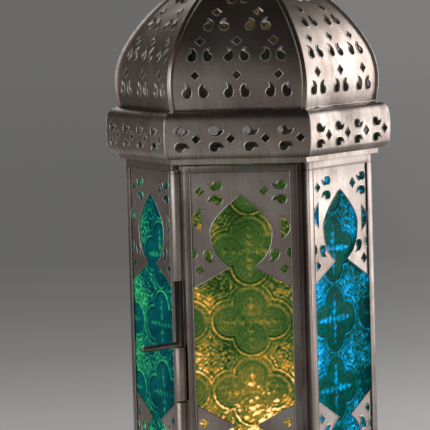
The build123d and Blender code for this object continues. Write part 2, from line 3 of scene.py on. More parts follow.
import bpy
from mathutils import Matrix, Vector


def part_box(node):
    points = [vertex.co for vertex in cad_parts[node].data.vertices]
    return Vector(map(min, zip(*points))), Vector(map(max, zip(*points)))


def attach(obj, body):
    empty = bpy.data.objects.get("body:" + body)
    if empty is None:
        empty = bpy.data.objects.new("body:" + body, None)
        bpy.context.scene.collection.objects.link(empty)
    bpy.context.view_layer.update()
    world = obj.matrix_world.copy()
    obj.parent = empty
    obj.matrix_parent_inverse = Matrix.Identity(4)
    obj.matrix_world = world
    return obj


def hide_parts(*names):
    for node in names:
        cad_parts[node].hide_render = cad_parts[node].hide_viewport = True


bl_info = {
    "name": "Pierced Lantern",
    "version": (1, 0, 0),
    "blender": (4, 5, 0),
    "location": "View3D > Sidebar > Lantern",
    "description": "Builds a pierced metal lantern with pressed glass panes over its CAD frame",
    "category": "Add Mesh",
}

from math import asin, cos, degrees, hypot, pi, radians, sin, tan

import bmesh
import bpy
import numpy as np
from mathutils import Matrix, Vector

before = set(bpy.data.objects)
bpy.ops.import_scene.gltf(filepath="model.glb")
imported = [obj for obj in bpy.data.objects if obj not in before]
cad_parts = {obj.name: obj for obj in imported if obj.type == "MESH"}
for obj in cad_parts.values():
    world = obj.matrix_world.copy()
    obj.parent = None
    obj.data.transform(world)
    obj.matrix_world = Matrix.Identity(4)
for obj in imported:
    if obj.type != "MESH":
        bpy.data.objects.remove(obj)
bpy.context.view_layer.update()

MM = 0.001
SIXTH = radians(60)
TAN30 = tan(radians(30))
COS30 = cos(radians(30))
SIN30 = sin(radians(30))
SIDES = ["front", "front_right", "back_right", "back", "back_left", "front_left"]
CORNERS = ["front_right", "right", "back_right", "back_left", "left", "front_left"]

# Places that the frame gives, in metres: lowest and highest corners of a node.
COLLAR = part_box("collar_side_front")
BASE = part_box("base_side_front")
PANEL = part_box("panel_frame_back")
DOOR_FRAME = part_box("door_frame")
DOOR_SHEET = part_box("door_fretwork")
DOOR_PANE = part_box("door_glass")
FIXED_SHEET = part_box("fretwork_back")
FIXED_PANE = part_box("glass_pane_back")
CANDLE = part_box("candle")
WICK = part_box("wick")

PANEL_APOTHEM = PANEL[1][1]
BAND_APOTHEM = -COLLAR[0][1]
BASE_TOP = BASE[1][2]
BODY_TOP = COLLAR[0][2]
COLLAR_TOP = COLLAR[1][2]
PANE_CENTRE = (DOOR_PANE[0][2] + DOOR_PANE[1][2]) / 2
# Half the width and half the height of a fretwork sheet.
FRET_HALF = (DOOR_SHEET[1][0], (DOOR_SHEET[1][2] - DOOR_SHEET[0][2]) / 2)

# The hinge: its axis, the door's tube between the post's two, and the tubes' radii.
HINGE_AXIS = (-PANEL_APOTHEM * TAN30, -PANEL_APOTHEM)
DOOR_TUBE = (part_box("door_hinge_tube")[0][2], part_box("door_hinge_tube")[1][2])
TUBE_GAP = 1.0 * MM
PIN_WINDOW = 39.0 * MM
POST_TUBES = [
    (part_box("hinge_tubes")[0][2], DOOR_TUBE[0] - TUBE_GAP),
    (DOOR_TUBE[1] + PIN_WINDOW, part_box("hinge_tubes")[1][2]),
]
TUBE_R = 3.05 * MM
TUBE_BORE = 2.3 * MM

# Section of the base and collar bands.
LIP_PROUD = 2.05 * MM
LIP_HEIGHT = 3.0 * MM
LEDGE_DEPTH = 8.0 * MM
ROLL_R = 5.0 * MM
SHOULDER_R = 6.5 * MM
BAND_FLANGE = 6.3 * MM
FOOT_HEIGHT = 5.5 * MM
BAND_GAP = 0.7 * MM

# The bands' outer faces are slightly pillowed, and their holes' rims stay inside the CAD box.
BAND_FACE = BAND_APOTHEM - 0.35 * MM
PILLOW_TURN = 7.0
PILLOW = 0.6 * MM

# Section of the dome, from its foot on the collar up to its neck.
DOME_FOOT = BAND_APOTHEM - SHOULDER_R - 1.8 * MM
BULGE_Z = 14.3 * MM
LOW_R = 60.0 * MM
MID_R = 45.0 * MM
MID_TURN = 27.0
HIGH_R = 95.0 * MM
HIGH_TURN = 25.0
NECK_R = 40.0 * MM
NECK_TURN = 42.0
NECK_APOTHEM = 8.5 * MM
RIM_PROUD = 0.31 * MM
RIB_WIDTH = 3.2 * MM

# Inner edges of the frames' strips: half their width, and the heights of the lower and the upper one.
STRIP_EDGE = (28.8 * MM, BASE_TOP + 4.9 * MM, BODY_TOP - 4.9 * MM)


def length(name, description, default):
    """A size that the user may change, in metres."""
    return bpy.props.FloatProperty(
        name=name, description=description, default=default, min=0.0, precision=5, unit="LENGTH"
    )


def colour(name, description, default):
    """A colour that the user may change."""
    return bpy.props.FloatVectorProperty(
        name=name, description=description, default=default + (1,), size=4, min=0, max=1, subtype="COLOR"
    )


class LanternSizes(bpy.types.PropertyGroup):
    """Sizes of the lantern's finer work."""

    sheet: length("Sheet", "Thickness of the pierced sheet", DOOR_SHEET[1][1] - DOOR_SHEET[0][1])
    rim: length("Hole rim", "Radius of the rounded burr along each hole's edge", RIM_PROUD)
    comma_bulb: length("Comma bulb", "Radius of a comma hole's round end", 2.85 * MM)
    comma_tail: length("Comma tail", "From a comma hole's bulb to its tip", 5.9 * MM)
    diamond: length("Diamond", "Half the diagonal of a diamond hole", 3.0 * MM)
    edge: length("Edge rounding", "Rounding of the folded strips' edges", 0.35 * MM)
    solder: length("Solder bead", "Radius of the soldered seams", 0.55 * MM)
    relief: length("Glass relief", "Height of the pressed pattern on the glass", 0.75 * MM)
    pane_step: length("Pane step", "Spacing of the points that shape the glass", 0.57 * MM)
    tile_width: length("Tile width", "Width of one repeat of the glass pattern", 48.0 * MM)
    tile_height: length("Tile height", "Height of one repeat of the glass pattern", 41.0 * MM)
    flame: length("Flame", "Height of the candle's flame", 15.0 * MM)


class LanternColours(bpy.types.PropertyGroup):
    """Colours of the lantern's finishes. Those of the glasses are added below."""

    silver: colour("Silver", "Rubbed antique silver", (0.68, 0.625, 0.575))
    tarnish: colour("Tarnish", "Darkened silver", (0.25, 0.2, 0.175))
    copper: colour("Warm cast", "Pinkish brown cast in patches of the silver", (0.52, 0.40, 0.345))
    bright: colour("Bright silver", "Edges and rims rubbed bright", (0.7, 0.67, 0.63))
    # This colour also paints shade: under the collar's lip, round the dome's foot and on the corner posts.
    soot_and_shade: colour("Soot", "Soot in corners, folds and holes", (0.09, 0.07, 0.06))
    wax: colour("Wax", "Candle wax", (0.86, 0.78, 0.62))
    flame: colour("Flame", "Tip of the candle's flame", (1.0, 0.52, 0.14))
    floor: colour("Floor", "Floor of the studio", (0.62, 0.62, 0.62))
    backdrop: colour("Backdrop", "Floor far behind the lantern", (0.127, 0.125, 0.123))


# Painted light of each glass, from dark to bright: what it shows, with the shade at which it shows, and its
# colours there.
GLASS_LEVELS = {"dark slopes": 0.0, "smooth lobes": 0.26, "lit slopes": 0.61, "glints": 0.8, "sparks": 1.0}
GLASS_TONES = {
    "amber": [
        (0.018, 0.035, 0.006),
        (0.042, 0.098, 0.021),
        (0.275, 0.19, 0.032),
        (0.8, 0.34, 0.03),
        (1.0, 0.8, 0.38),
    ],
    "blue": [
        (0.0, 0.03, 0.035),
        (0.0, 0.085, 0.055),
        (0.0, 0.25, 0.55),
        (0.0, 0.44, 0.82),
        (0.08, 0.66, 0.95),
    ],
    "green": [
        (0.0, 0.025, 0.03),
        (0.0, 0.07, 0.08),
        (0.02, 0.26, 0.08),
        (0.04, 0.4, 0.18),
        (0.12, 0.6, 0.32),
    ],
}


def tone_name(glass, level):
    """Name of the property that holds one colour of a glass."""
    return f"{glass}_{level}".replace(" ", "_")


for glass, tones in GLASS_TONES.items():
    for level, tone in zip(GLASS_LEVELS, tones):
        title, words = f"{glass} {level}".capitalize(), f"{level} of the {glass} glass".capitalize()
        LanternColours.__annotations__[tone_name(glass, level)] = colour(title, words, tone)


class Wire:
    """A socket of a node tree. Sums on it add Math nodes, and node() adds any other node."""

    def __init__(self, tree, socket=None):
        self.tree = tree
        self.socket = socket

    def node(self, kind, inputs=None, output=0, **settings):
        """Adds a node, sets it, feeds its sockets and returns one of its outputs, if it has any."""
        node = self.tree.nodes.new(kind)
        for key, value in settings.items():
            if key == "stops":
                elements = node.color_ramp.elements
                for place, tone in value[2:]:
                    elements.new(place)
                for element, (place, tone) in zip(elements, sorted(value)):
                    element.position = place
                    element.color = tone
            else:
                setattr(node, key, value)
        for key, value in (inputs or {}).items():
            self.feed(node.inputs[key], value)
        return Wire(self.tree, node.outputs[output]) if node.outputs else None

    def feed(self, socket, value):
        """Links a wire, or several, to a socket, or sets the socket's own value."""
        for item in value if isinstance(value, list) else [value]:
            if isinstance(item, Wire):
                self.tree.links.new(item.socket, socket)
            else:
                socket.default_value = item

    def other(self, output):
        """Another output of the same node."""
        return Wire(self.tree, self.socket.node.outputs[output])

    def math(self, operation, first, second=0.0):
        return self.node("ShaderNodeMath", {0: first, 1: second}, operation=operation)

    def __add__(self, value):
        return self.math("ADD", self, value)

    def __radd__(self, value):
        return self.math("ADD", value, self)

    def __sub__(self, value):
        return self.math("SUBTRACT", self, value)

    def __rsub__(self, value):
        return self.math("SUBTRACT", value, self)

    def __mul__(self, value):
        return self.math("MULTIPLY", self, value)

    def __rmul__(self, value):
        return self.math("MULTIPLY", value, self)

    def __truediv__(self, value):
        return self.math("DIVIDE", self, value)

    def __rtruediv__(self, value):
        return self.math("DIVIDE", value, self)

    def __abs__(self):
        return self.math("ABSOLUTE", self)

    def least(self, value):
        return self.math("MINIMUM", self, value)

    def most(self, value):
        return self.math("MAXIMUM", self, value)

    def clip(self, low, high):
        """0 below low, 1 above high, and straight between them."""
        return self.node("ShaderNodeMapRange", {0: self, 1: low, 2: high, 3: 0.0, 4: 1.0}, clamp=True)

    def mix(self, first, second):
        """A colour between two, by this value."""
        return self.node("ShaderNodeMix", {0: self, 6: first, 7: second}, 2, data_type="RGBA")

    def ramp(self, stops):
        """A colour by this value, from a row of places and their colours."""
        return self.node("ShaderNodeValToRGB", {0: self}, stops=stops)

    def here(self):
        """Object coordinates."""
        return self.node("ShaderNodeTexCoord", output="Object")

    def attribute(self, name):
        """A number that the mesh keeps."""
        return self.node("ShaderNodeAttribute", output="Fac", attribute_name=name)

    def noise(self, place, scale, detail):
        return self.node("ShaderNodeTexNoise", {"Vector": place, "Scale": scale, "Detail": detail})

    def bump(self, strength, distance, height, **under):
        """A normal from a height, over another normal if one is given."""
        inputs = {"Strength": strength, "Distance": distance, "Height": height, **under}
        return self.node("ShaderNodeBump", inputs)


class Profile:
    """A sheet's section, drawn as straights and bends, with its outer face on the right of the line."""

    def __init__(self, x, z, heading):
        self.x = x
        self.z = z
        self.heading = heading
        self.run = 0.0
        self.marks = []
        self.mark()

    def mark(self):
        """Keeps the place, run and heading reached so far."""
        self.marks.append((self.run, self.x, self.z, self.heading))

    def straight(self, distance, steps=1):
        for _ in range(steps):
            self.x += distance / steps * cos(radians(self.heading))
            self.z += distance / steps * sin(radians(self.heading))
            self.run += distance / steps
            self.mark()
        return self

    def bend(self, radius, turn, steps):
        """A round stretch, to the left if turn is above 0."""
        side = 90 if turn > 0 else -90
        middle_x = self.x + radius * cos(radians(self.heading + side))
        middle_z = self.z + radius * sin(radians(self.heading + side))
        for _ in range(steps):
            self.heading += turn / steps
            self.x = middle_x - radius * cos(radians(self.heading + side))
            self.z = middle_z - radius * sin(radians(self.heading + side))
            self.run += radius * abs(radians(turn)) / steps
            self.mark()
        return self

    def corner(self, turn):
        """A sharp fold. It leaves two marks at one place."""
        self.heading += turn
        self.mark()
        return self

    def pillow(self, low_r, high_r, top):
        """A band's rounded foot, its pillowed face and its rounded shoulder."""
        steps = {ROLL_R: 8, SHOULDER_R: 10}
        turn = radians(PILLOW_TURN)
        self.bend(low_r, 90 - PILLOW_TURN, steps[low_r])
        self.bend((top - high_r * (1 - sin(turn)) - self.z) / 2 / sin(turn), 2 * PILLOW_TURN, 12)
        return self.bend(high_r, 90 - PILLOW_TURN, steps[high_r])

    def at(self, run):
        """Apothem, height and heading at a length along the section."""
        for (run_a, *first), (run_b, *last) in zip(self.marks, self.marks[1:]):
            if run_a <= run <= run_b and run_b > run_a:
                part = (run - run_a) / (run_b - run_a)
                return [a + (b - a) * part for a, b in zip(first, last)]
        raise ValueError("the section is shorter than that")

    def faces(self, thickness):
        """Outer and inner points of the section, mitred at its sharp folds."""
        pairs = []
        index = 0
        while index < len(self.marks):
            run, x, z, first = self.marks[index]
            last = first
            while index + 1 < len(self.marks) and self.marks[index + 1][0] - run < 1e-9:
                index += 1
                last = self.marks[index][3]
            ax, az = sin(radians(first)), -cos(radians(first))
            bx, bz = sin(radians(last)), -cos(radians(last))
            share = 1 + ax * bx + az * bz
            pairs.append(((x, z), (x - thickness * (ax + bx) / share, z - thickness * (az + bz) / share)))
            index += 1
        return pairs

    def corner_line(self):
        """Radius, height and outward direction at each mark, in the plane of the front right corner."""
        for run, x, z, heading in self.marks:
            flat, rise = sin(radians(heading)) * COS30, -cos(radians(heading))
            size = hypot(flat, rise)
            yield x / COS30, z, flat / size, rise / size


def collar_profile():
    """The collar's section: ledge, lip, rolled band and the shoulder that the dome stands on."""
    section = Profile(PANEL_APOTHEM - LEDGE_DEPTH, BODY_TOP, 0)
    section.straight(LEDGE_DEPTH + LIP_PROUD).corner(90).straight(LIP_HEIGHT).corner(-90)
    section.straight(BAND_FACE - ROLL_R - PILLOW - PANEL_APOTHEM - LIP_PROUD)
    return section.pillow(ROLL_R, SHOULDER_R, COLLAR_TOP).straight(BAND_FLANGE)


def base_profile():
    """The base's section: foot, the same band the other way up, and the ledge under the panels."""
    foot = BAND_FACE - PILLOW - SHOULDER_R
    section = Profile(foot - BAND_FLANGE, BASE[0][2], 0)
    section.straight(BAND_FLANGE).corner(90).straight(FOOT_HEIGHT - BASE[0][2]).corner(-90)
    section.pillow(SHOULDER_R, ROLL_R, BASE_TOP - LIP_HEIGHT)
    section.straight(section.x - PANEL_APOTHEM - LIP_PROUD)
    return section.corner(-90).straight(LIP_HEIGHT).corner(90).straight(LEDGE_DEPTH + LIP_PROUD)


def dome_profile():
    """The dome's section: three bends outwards, one straight slope and the hollow neck."""
    foot_tilt = degrees(asin(BULGE_Z / LOW_R))
    section = Profile(DOME_FOOT, COLLAR_TOP, 90 - foot_tilt)
    section.bend(LOW_R, foot_tilt, 8).bend(MID_R, MID_TURN, 12).bend(HIGH_R, HIGH_TURN, 22)
    slope_turn = radians(MID_TURN + HIGH_TURN)
    neck = NECK_R * (cos(slope_turn - radians(NECK_TURN)) - cos(slope_turn))
    section.straight((section.x - neck - NECK_APOTHEM) / sin(slope_turn), 8)
    return section.bend(NECK_R, -NECK_TURN, 14)


def freed(name, bm):
    """A mesh from a bmesh, which is freed."""
    mesh = bpy.data.meshes.new(name)
    bm.to_mesh(mesh)
    bm.free()
    return mesh


def plain_mesh(name, points, faces):
    """A mesh from points and faces, with its normals made to point outwards."""
    bm = bmesh.new()
    corners = [bm.verts.new(point) for point in points]
    for face in faces:
        bm.faces.new([corners[i] for i in face])
    bmesh.ops.recalc_face_normals(bm, faces=bm.faces)
    return freed(name, bm)


def loft(name, loops):
    """A closed mesh through a row of loops of as many points each, with flat ends."""
    wide = len(loops[0])
    last = wide * (len(loops) - 1)
    faces = [range(wide), range(last, last + wide)]
    for row in range(0, last, wide):
        for i in range(wide):
            a, b = row + i, row + (i + 1) % wide
            faces.append((a, b, b + wide, a + wide))
    return plain_mesh(name, [point for loop in loops for point in loop], faces)


def add_object(name, mesh):
    """An object at the origin, in the scene."""
    thing = bpy.data.objects.new(name, mesh)
    bpy.context.scene.collection.objects.link(thing)
    return thing


def smooth(mesh, angle):
    """Shades a mesh smooth, apart from folds sharper than the angle in degrees."""
    mesh.polygons.foreach_set("use_smooth", [True] * len(mesh.polygons))
    mesh.set_sharp_from_angle(angle=radians(angle))
    mesh.update()


def add_piece(name, mesh, material, angle):
    """An object of one material, shaded smooth."""
    mesh.materials.clear()
    mesh.materials.append(material)
    smooth(mesh, angle)
    return add_object(name, mesh)


def settle(thing, body, nodes):
    """Makes a finished piece ride on its body in place of its nodes."""
    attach(thing, body)
    if nodes:
        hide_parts(*nodes)


def bake(name, mesh, tree, material, first=0, count=6, **inputs):
    """Runs a geometry tree on a mesh and returns an object with the result as a plain mesh."""
    thing = add_object("raw", mesh)
    modifier = thing.modifiers.new("build", "NODES")
    modifier.node_group = tree
    sockets = {item.name: item.identifier for item in tree.interface.items_tree if item.in_out == "INPUT"}
    inputs.update(Material=material, First=first, Count=count)
    for key, value in inputs.items():
        modifier[sockets[key]] = value
    graph = bpy.context.evaluated_depsgraph_get()
    result = bpy.data.meshes.new_from_object(thing.evaluated_get(graph))
    result.name = name
    bpy.data.objects.remove(thing)
    if not result.polygons:
        raise RuntimeError(f"{name} came out empty")
    smooth(result, 38)
    return add_object(name, result)


def new_tree(name, **sockets):
    """A geometry tree with named inputs: the wire of its geometry, to add nodes by."""
    tree = bpy.data.node_groups.new(name, "GeometryNodeTree")
    tree.interface.new_socket("Geometry", in_out="OUTPUT", socket_type="NodeSocketGeometry")
    sockets = {"Geometry": "Geometry", **sockets, "First": "Int", "Count": "Int", "Material": "Material"}
    for label, kind in sockets.items():
        tree.interface.new_socket(label, in_out="INPUT", socket_type=f"NodeSocket{kind}")
    return Wire(tree, tree.nodes.new("NodeGroupInput").outputs[0])


def end_tree(start, geometry):
    """Repeats a geometry round the lantern's axis in sixths, gives it its material and ends the tree."""
    points = start.node("GeometryNodeMeshLine", {"Count": start.other("Count"), "Offset": (0, 0, 0)})
    turn = (start.node("GeometryNodeInputIndex") + start.other("First")) * SIXTH
    spin = start.node("FunctionNodeEulerToRotation", {0: start.node("ShaderNodeCombineXYZ", {"Z": turn})})
    inputs = {"Points": points, "Instance": geometry, "Rotation": spin}
    copies = start.node("GeometryNodeInstanceOnPoints", inputs)
    real = start.node("GeometryNodeRealizeInstances", {0: copies})
    dressed = start.node("GeometryNodeSetMaterial", {0: real, "Material": start.other("Material")})
    start.node("NodeGroupOutput", {0: dressed})
    return start.tree


def burnished(start, geometry, amount):
    """Keeps on the faces how far they are rubbed bright, or darkened if below 0."""
    inputs = {0: geometry, "Name": "burnish", "Value": amount}
    return start.node("GeometryNodeStoreNamedAttribute", inputs, data_type="FLOAT", domain="FACE")


def bar(start, path, sides, radius, caps):
    """A round bar along a path."""
    ring = start.node("GeometryNodeCurvePrimitiveCircle", {"Resolution": sides, "Radius": radius})
    return start.node("GeometryNodeCurveToMesh", {"Curve": path, "Profile Curve": ring, "Fill Caps": caps})


# How the faces at a hole are rubbed: bright on its rim and dark on its walls.
RIM_BRIGHT = 0.6
WALL_DARK = -1.0
HOLE_KINDS = ["Comma", "Mirrored comma", "Diamond", "Slit", "Half round", "Window"]
COMMA, MIRRORED, DIAMOND, SLIT, HALF_ROUND, WINDOW = range(6)


def pierce_tree():
    """Cuts each kind of hole out of a sheet at the points of another object and rounds the holes' edges."""
    start = new_tree("Pierced sheet", Holes="Object", Rim="Float", **dict.fromkeys(HOLE_KINDS, "Object"))

    def shape(label):
        return start.node("GeometryNodeObjectInfo", {"Object": start.other(label)}, "Geometry")

    points = shape("Holes")
    facing = start.node("GeometryNodeInputNamedAttribute", {"Name": "facing"}, data_type="QUATERNION")
    kind = start.node("GeometryNodeInputNamedAttribute", {"Name": "kind"}, data_type="INT")
    tools = []
    for number, label in enumerate(HOLE_KINDS):
        chosen = start.node("FunctionNodeCompare", {2: kind, 3: number}, data_type="INT", operation="EQUAL")
        inputs = {"Points": points, "Selection": chosen, "Instance": shape(label), "Rotation": facing}
        tools.append(start.node("GeometryNodeInstanceOnPoints", inputs))
    joined = start.node("GeometryNodeJoinGeometry", {0: tools})
    tool = start.node("GeometryNodeRealizeInstances", {0: joined})
    inputs = {"Mesh 1": burnished(start, start, 0.0), "Mesh 2": burnished(start, tool, WALL_DARK)}
    cut = start.node("GeometryNodeMeshBoolean", inputs, operation="DIFFERENCE", solver="EXACT")
    edges = start.node("GeometryNodeMeshToCurve", {0: cut, "Selection": cut.other("Intersecting Edges")})
    rims = burnished(start, bar(start, edges, 6, start.other("Rim"), False), RIM_BRIGHT)
    return end_tree(start, start.node("GeometryNodeJoinGeometry", {0: [rims, cut]}))


def bead_tree():
    """Lays a round bead along the edges of an object, such as a soldered seam or a wire."""
    start = new_tree("Bead", Radius="Float", Sides="Int", Bright="Float")
    path = start.node("GeometryNodeMeshToCurve", {0: start})
    bead = bar(start, path, start.other("Sides"), start.other("Radius"), True)
    return end_tree(start, burnished(start, bead, start.other("Bright")))


def repeat_tree():
    """Repeats a piece round the lantern's axis."""
    start = new_tree("Sixths")
    return end_tree(start, start)


def curve(first, control, last, steps):
    """Points of a curve from first towards control and on to last, without its first point."""
    points = []
    for step in range(1, steps + 1):
        t = step / steps
        shares = ((1 - t) ** 2, 2 * t * (1 - t), t * t)
        ends = (first, control, last)
        points.append(tuple(sum(share * end[axis] for share, end in zip(shares, ends)) for axis in (0, 1)))
    return points


def bow(first, through, last, steps):
    """Points of a bow from first through a point half way to last, without its first point."""
    control = [2 * through[i] - (first[i] + last[i]) / 2 for i in (0, 1)]
    return curve(first, control, last, steps)


def comma_outline(sizes, flip):
    """A bulb with a tail: one flank runs on smoothly from the bulb and the other is notched."""
    bulb, tail = sizes.comma_bulb, sizes.comma_tail
    tip = (0.36 * bulb, tail)
    blunt = (-0.12 * bulb, 0.95 * tail)
    around = [radians(174 + 14.6 * step) for step in range(19)]
    outline = [(bulb * cos(angle), bulb * sin(angle)) for angle in around]
    outline += curve(outline[-1], (0.04 * bulb, 0.62 * tail), tip, 4)
    outline.append(blunt)
    outline += bow(blunt, (-0.9 * bulb, 0.58 * tail), outline[0], 6)[:-1]
    return [(x * flip, y) for x, y in outline]


def window_outline():
    """The fretwork's window: a waist and a pointed arch above and below its straight sides."""
    half_width, half_height = FRET_HALF
    # Most places are taken from the sheet's side and from its upper edge.
    waist = (6.5 * MM, half_height - 56.2 * MM)
    belly = (half_width - 12.4 * MM, half_height - 37.6 * MM)
    tip = (0, half_height - 14.4 * MM)
    quarter = [(half_width + 1.0 * MM, half_height - 69.5 * MM), waist]
    quarter += bow(waist, (half_width - 15.4 * MM, half_height - 48.6 * MM), belly, 10)
    quarter += curve(belly, (20.0 * MM, half_height - 29.4 * MM), tip, 16)
    top = quarter + [(-x, y) for x, y in quarter[-2::-1]]
    return top + [(-x, -y) for x, y in top]


SLIT_HALF = 7.4 * MM
SLIT_BOW = 5.4 * MM
HALF_ROUND_R = 3.6 * MM
TOOL_HALF = 3 * MM


def cutters(sizes):
    """One prism for each kind of hole, with the hole's outline across it."""
    gem = sizes.diamond
    slit = [(0, -SLIT_HALF), (0, SLIT_HALF)]
    slit += bow(slit[1], (SLIT_BOW, 0), slit[0], 14)[:-1]
    around = np.linspace(0, pi, 15)[1:]
    half_round = [(0, -HALF_ROUND_R)] + [(HALF_ROUND_R * sin(a), -HALF_ROUND_R * cos(a)) for a in around]
    diamond = [(gem, 0), (0, gem), (-gem, 0), (0, -gem)]
    commas = [comma_outline(sizes, 1), comma_outline(sizes, -1)]
    shapes = {}
    for kind, outline in zip(HOLE_KINDS, commas + [diamond, slit, half_round, window_outline()]):
        ends = [[(x, y, z) for x, y in outline] for z in (-TOOL_HALF, TOOL_HALF)]
        shapes[kind] = add_object(kind, loft(kind, ends))
    return shapes


def hole_points(holes):
    """An object whose points say where each hole is, which kind it is and which way it faces."""
    mesh = bpy.data.meshes.new("holes")
    mesh.from_pydata([place.translation for place, kind in holes], [], [])
    kinds = mesh.attributes.new("kind", "INT", "POINT")
    facing = mesh.attributes.new("facing", "QUATERNION", "POINT")
    for index, (place, kind) in enumerate(holes):
        kinds.data[index].value = kind
        facing.data[index].value = place.to_quaternion()
    return add_object("holes", mesh)


def on_front(x, z, heading, across, turn=0):
    """A place on the front side: its axes lie across the sheet, along its section and out of it."""
    along = radians(heading)
    axes = Matrix(((1, 0, 0), (0, -cos(along), -sin(along)), (0, sin(along), -cos(along))))
    return Matrix.Translation((across, -x, z)) @ axes.to_4x4() @ Matrix.Rotation(radians(turn), 4, "Z")


def sheet_mesh(name, section, thickness, setback, columns=2):
    """The front side of a band or dome as one bent sheet that ends at the corner planes."""
    pairs = section.faces(thickness)
    rows, wide = len(pairs), columns + 1
    points = []
    faces = []
    for layer in (0, 1):
        for pair in pairs:
            x, z = pair[layer]
            half = (x - setback) * TAN30
            points += [(half * (2 * column / columns - 1), -x, z) for column in range(wide)]

    def quad(*corners):
        faces.append([(layer * rows + row) * wide + column for layer, row, column in corners])

    for row in range(rows - 1):
        after = row + 1
        for column in range(columns):
            for layer in (0, 1):
                ring = ((row, column), (row, column + 1), (after, column + 1), (after, column))
                quad(*[(layer, *corner) for corner in ring])
        for column in (0, columns):
            quad((0, row, column), (0, after, column), (1, after, column), (1, row, column))
    for column in range(columns):
        for row in (0, rows - 1):
            quad((0, row, column), (0, row, column + 1), (1, row, column + 1), (1, row, column))
    return plain_mesh(name, points, faces)


def pierced(name, mesh, holes, sizes, material, first=0, count=6):
    """Pierces a sheet and repeats it round the lantern."""
    tools = {"Holes": hole_points(holes), **cutters(sizes)}
    piece = bake(name, mesh, pierce_tree(), material, first, count, Rim=sizes.rim, **tools)
    for tool in tools.values():
        bpy.data.objects.remove(tool)
    return piece


def beads(name, paths, radius, material, bright, first=0, count=6, sides=8):
    """Round beads along paths, repeated round the lantern."""
    points = []
    edges = []
    for path in paths:
        edges += [(len(points) + i, len(points) + i + 1) for i in range(len(path) - 1)]
        points += path
    mesh = bpy.data.meshes.new("paths")
    mesh.from_pydata(points, edges, [])
    return bake(name, mesh, bead_tree(), material, first, count, Radius=radius, Sides=sides, Bright=bright)


def cad_copy(name, nodes, material, edge=0.0):
    """A piece from merged copies of CAD nodes, with their sharp edges rounded."""
    whole = bmesh.new()
    for node in nodes:
        bm = bmesh.new()
        bm.from_mesh(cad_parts[node].data)
        bmesh.ops.remove_doubles(bm, verts=bm.verts, dist=1e-6)
        if edge:
            bmesh.ops.dissolve_limit(bm, angle_limit=radians(0.5), verts=bm.verts, edges=bm.edges)
            folds = [e for e in bm.edges if e.is_manifold and e.calc_face_angle() > radians(40)]
            bmesh.ops.bevel(
                bm, geom=folds, offset=edge, segments=3, profile=0.5, affect="EDGES", clamp_overlap=True
            )
        part = freed("part", bm)
        whole.from_mesh(part)
        bpy.data.meshes.remove(part)
    return add_piece(name, freed(name, whole), material, 30)


def lathe(name, outline, turns, material, wobble=None):
    """A turned piece from an outline of radii and heights, closed where its radius is 0."""
    bm = bmesh.new()
    rings = []
    for radius, height in outline:
        if radius < 1e-7:
            rings.append([bm.verts.new((0, 0, height))] * turns)
            continue
        ring = []
        for step in range(turns):
            angle = 2 * pi * step / turns
            r, z = wobble(radius, height, angle) if wobble else (radius, height)
            ring.append(bm.verts.new((r * cos(angle), r * sin(angle), z)))
        rings.append(ring)
    for low, high in zip(rings, rings[1:]):
        for step in range(turns):
            after = (step + 1) % turns
            bm.faces.new(list(dict.fromkeys((low[step], low[after], high[after], high[step]))))
    bmesh.ops.recalc_face_normals(bm, faces=bm.faces)
    return add_piece(name, freed(name, bm), material, 50)


def new_material(name):
    """A material with an empty node tree, and a wire to add nodes by."""
    material = bpy.data.materials.new(name)
    material.use_nodes = True
    material.node_tree.nodes.clear()
    return material, Wire(material.node_tree)


def end_material(material, start, inputs):
    """Ends a material with the usual shader."""
    surface = start.node("ShaderNodeBsdfPrincipled", inputs)
    start.node("ShaderNodeOutputMaterial", {"Surface": surface})
    return material


# How each silver is finished: its tarnish, its roughness and how much darker it is all over: tarnish on the
# pin, brown on the door's frame, and painted shade on the corner posts and on the bead at the dome's foot.
SILVERS = {
    "pierced silver": (0.68, 0.36, 0.0),
    "folded silver": (0.5, 0.32, 0.0),
    "smoked silver": (0.7, 0.34, 0.6),
    "browned silver": (0.8, 0.34, 0.56),
    "rolled silver": (0.4, 0.44, 0.0),
    "turned silver": (0.4, 0.27, 0.0),
}


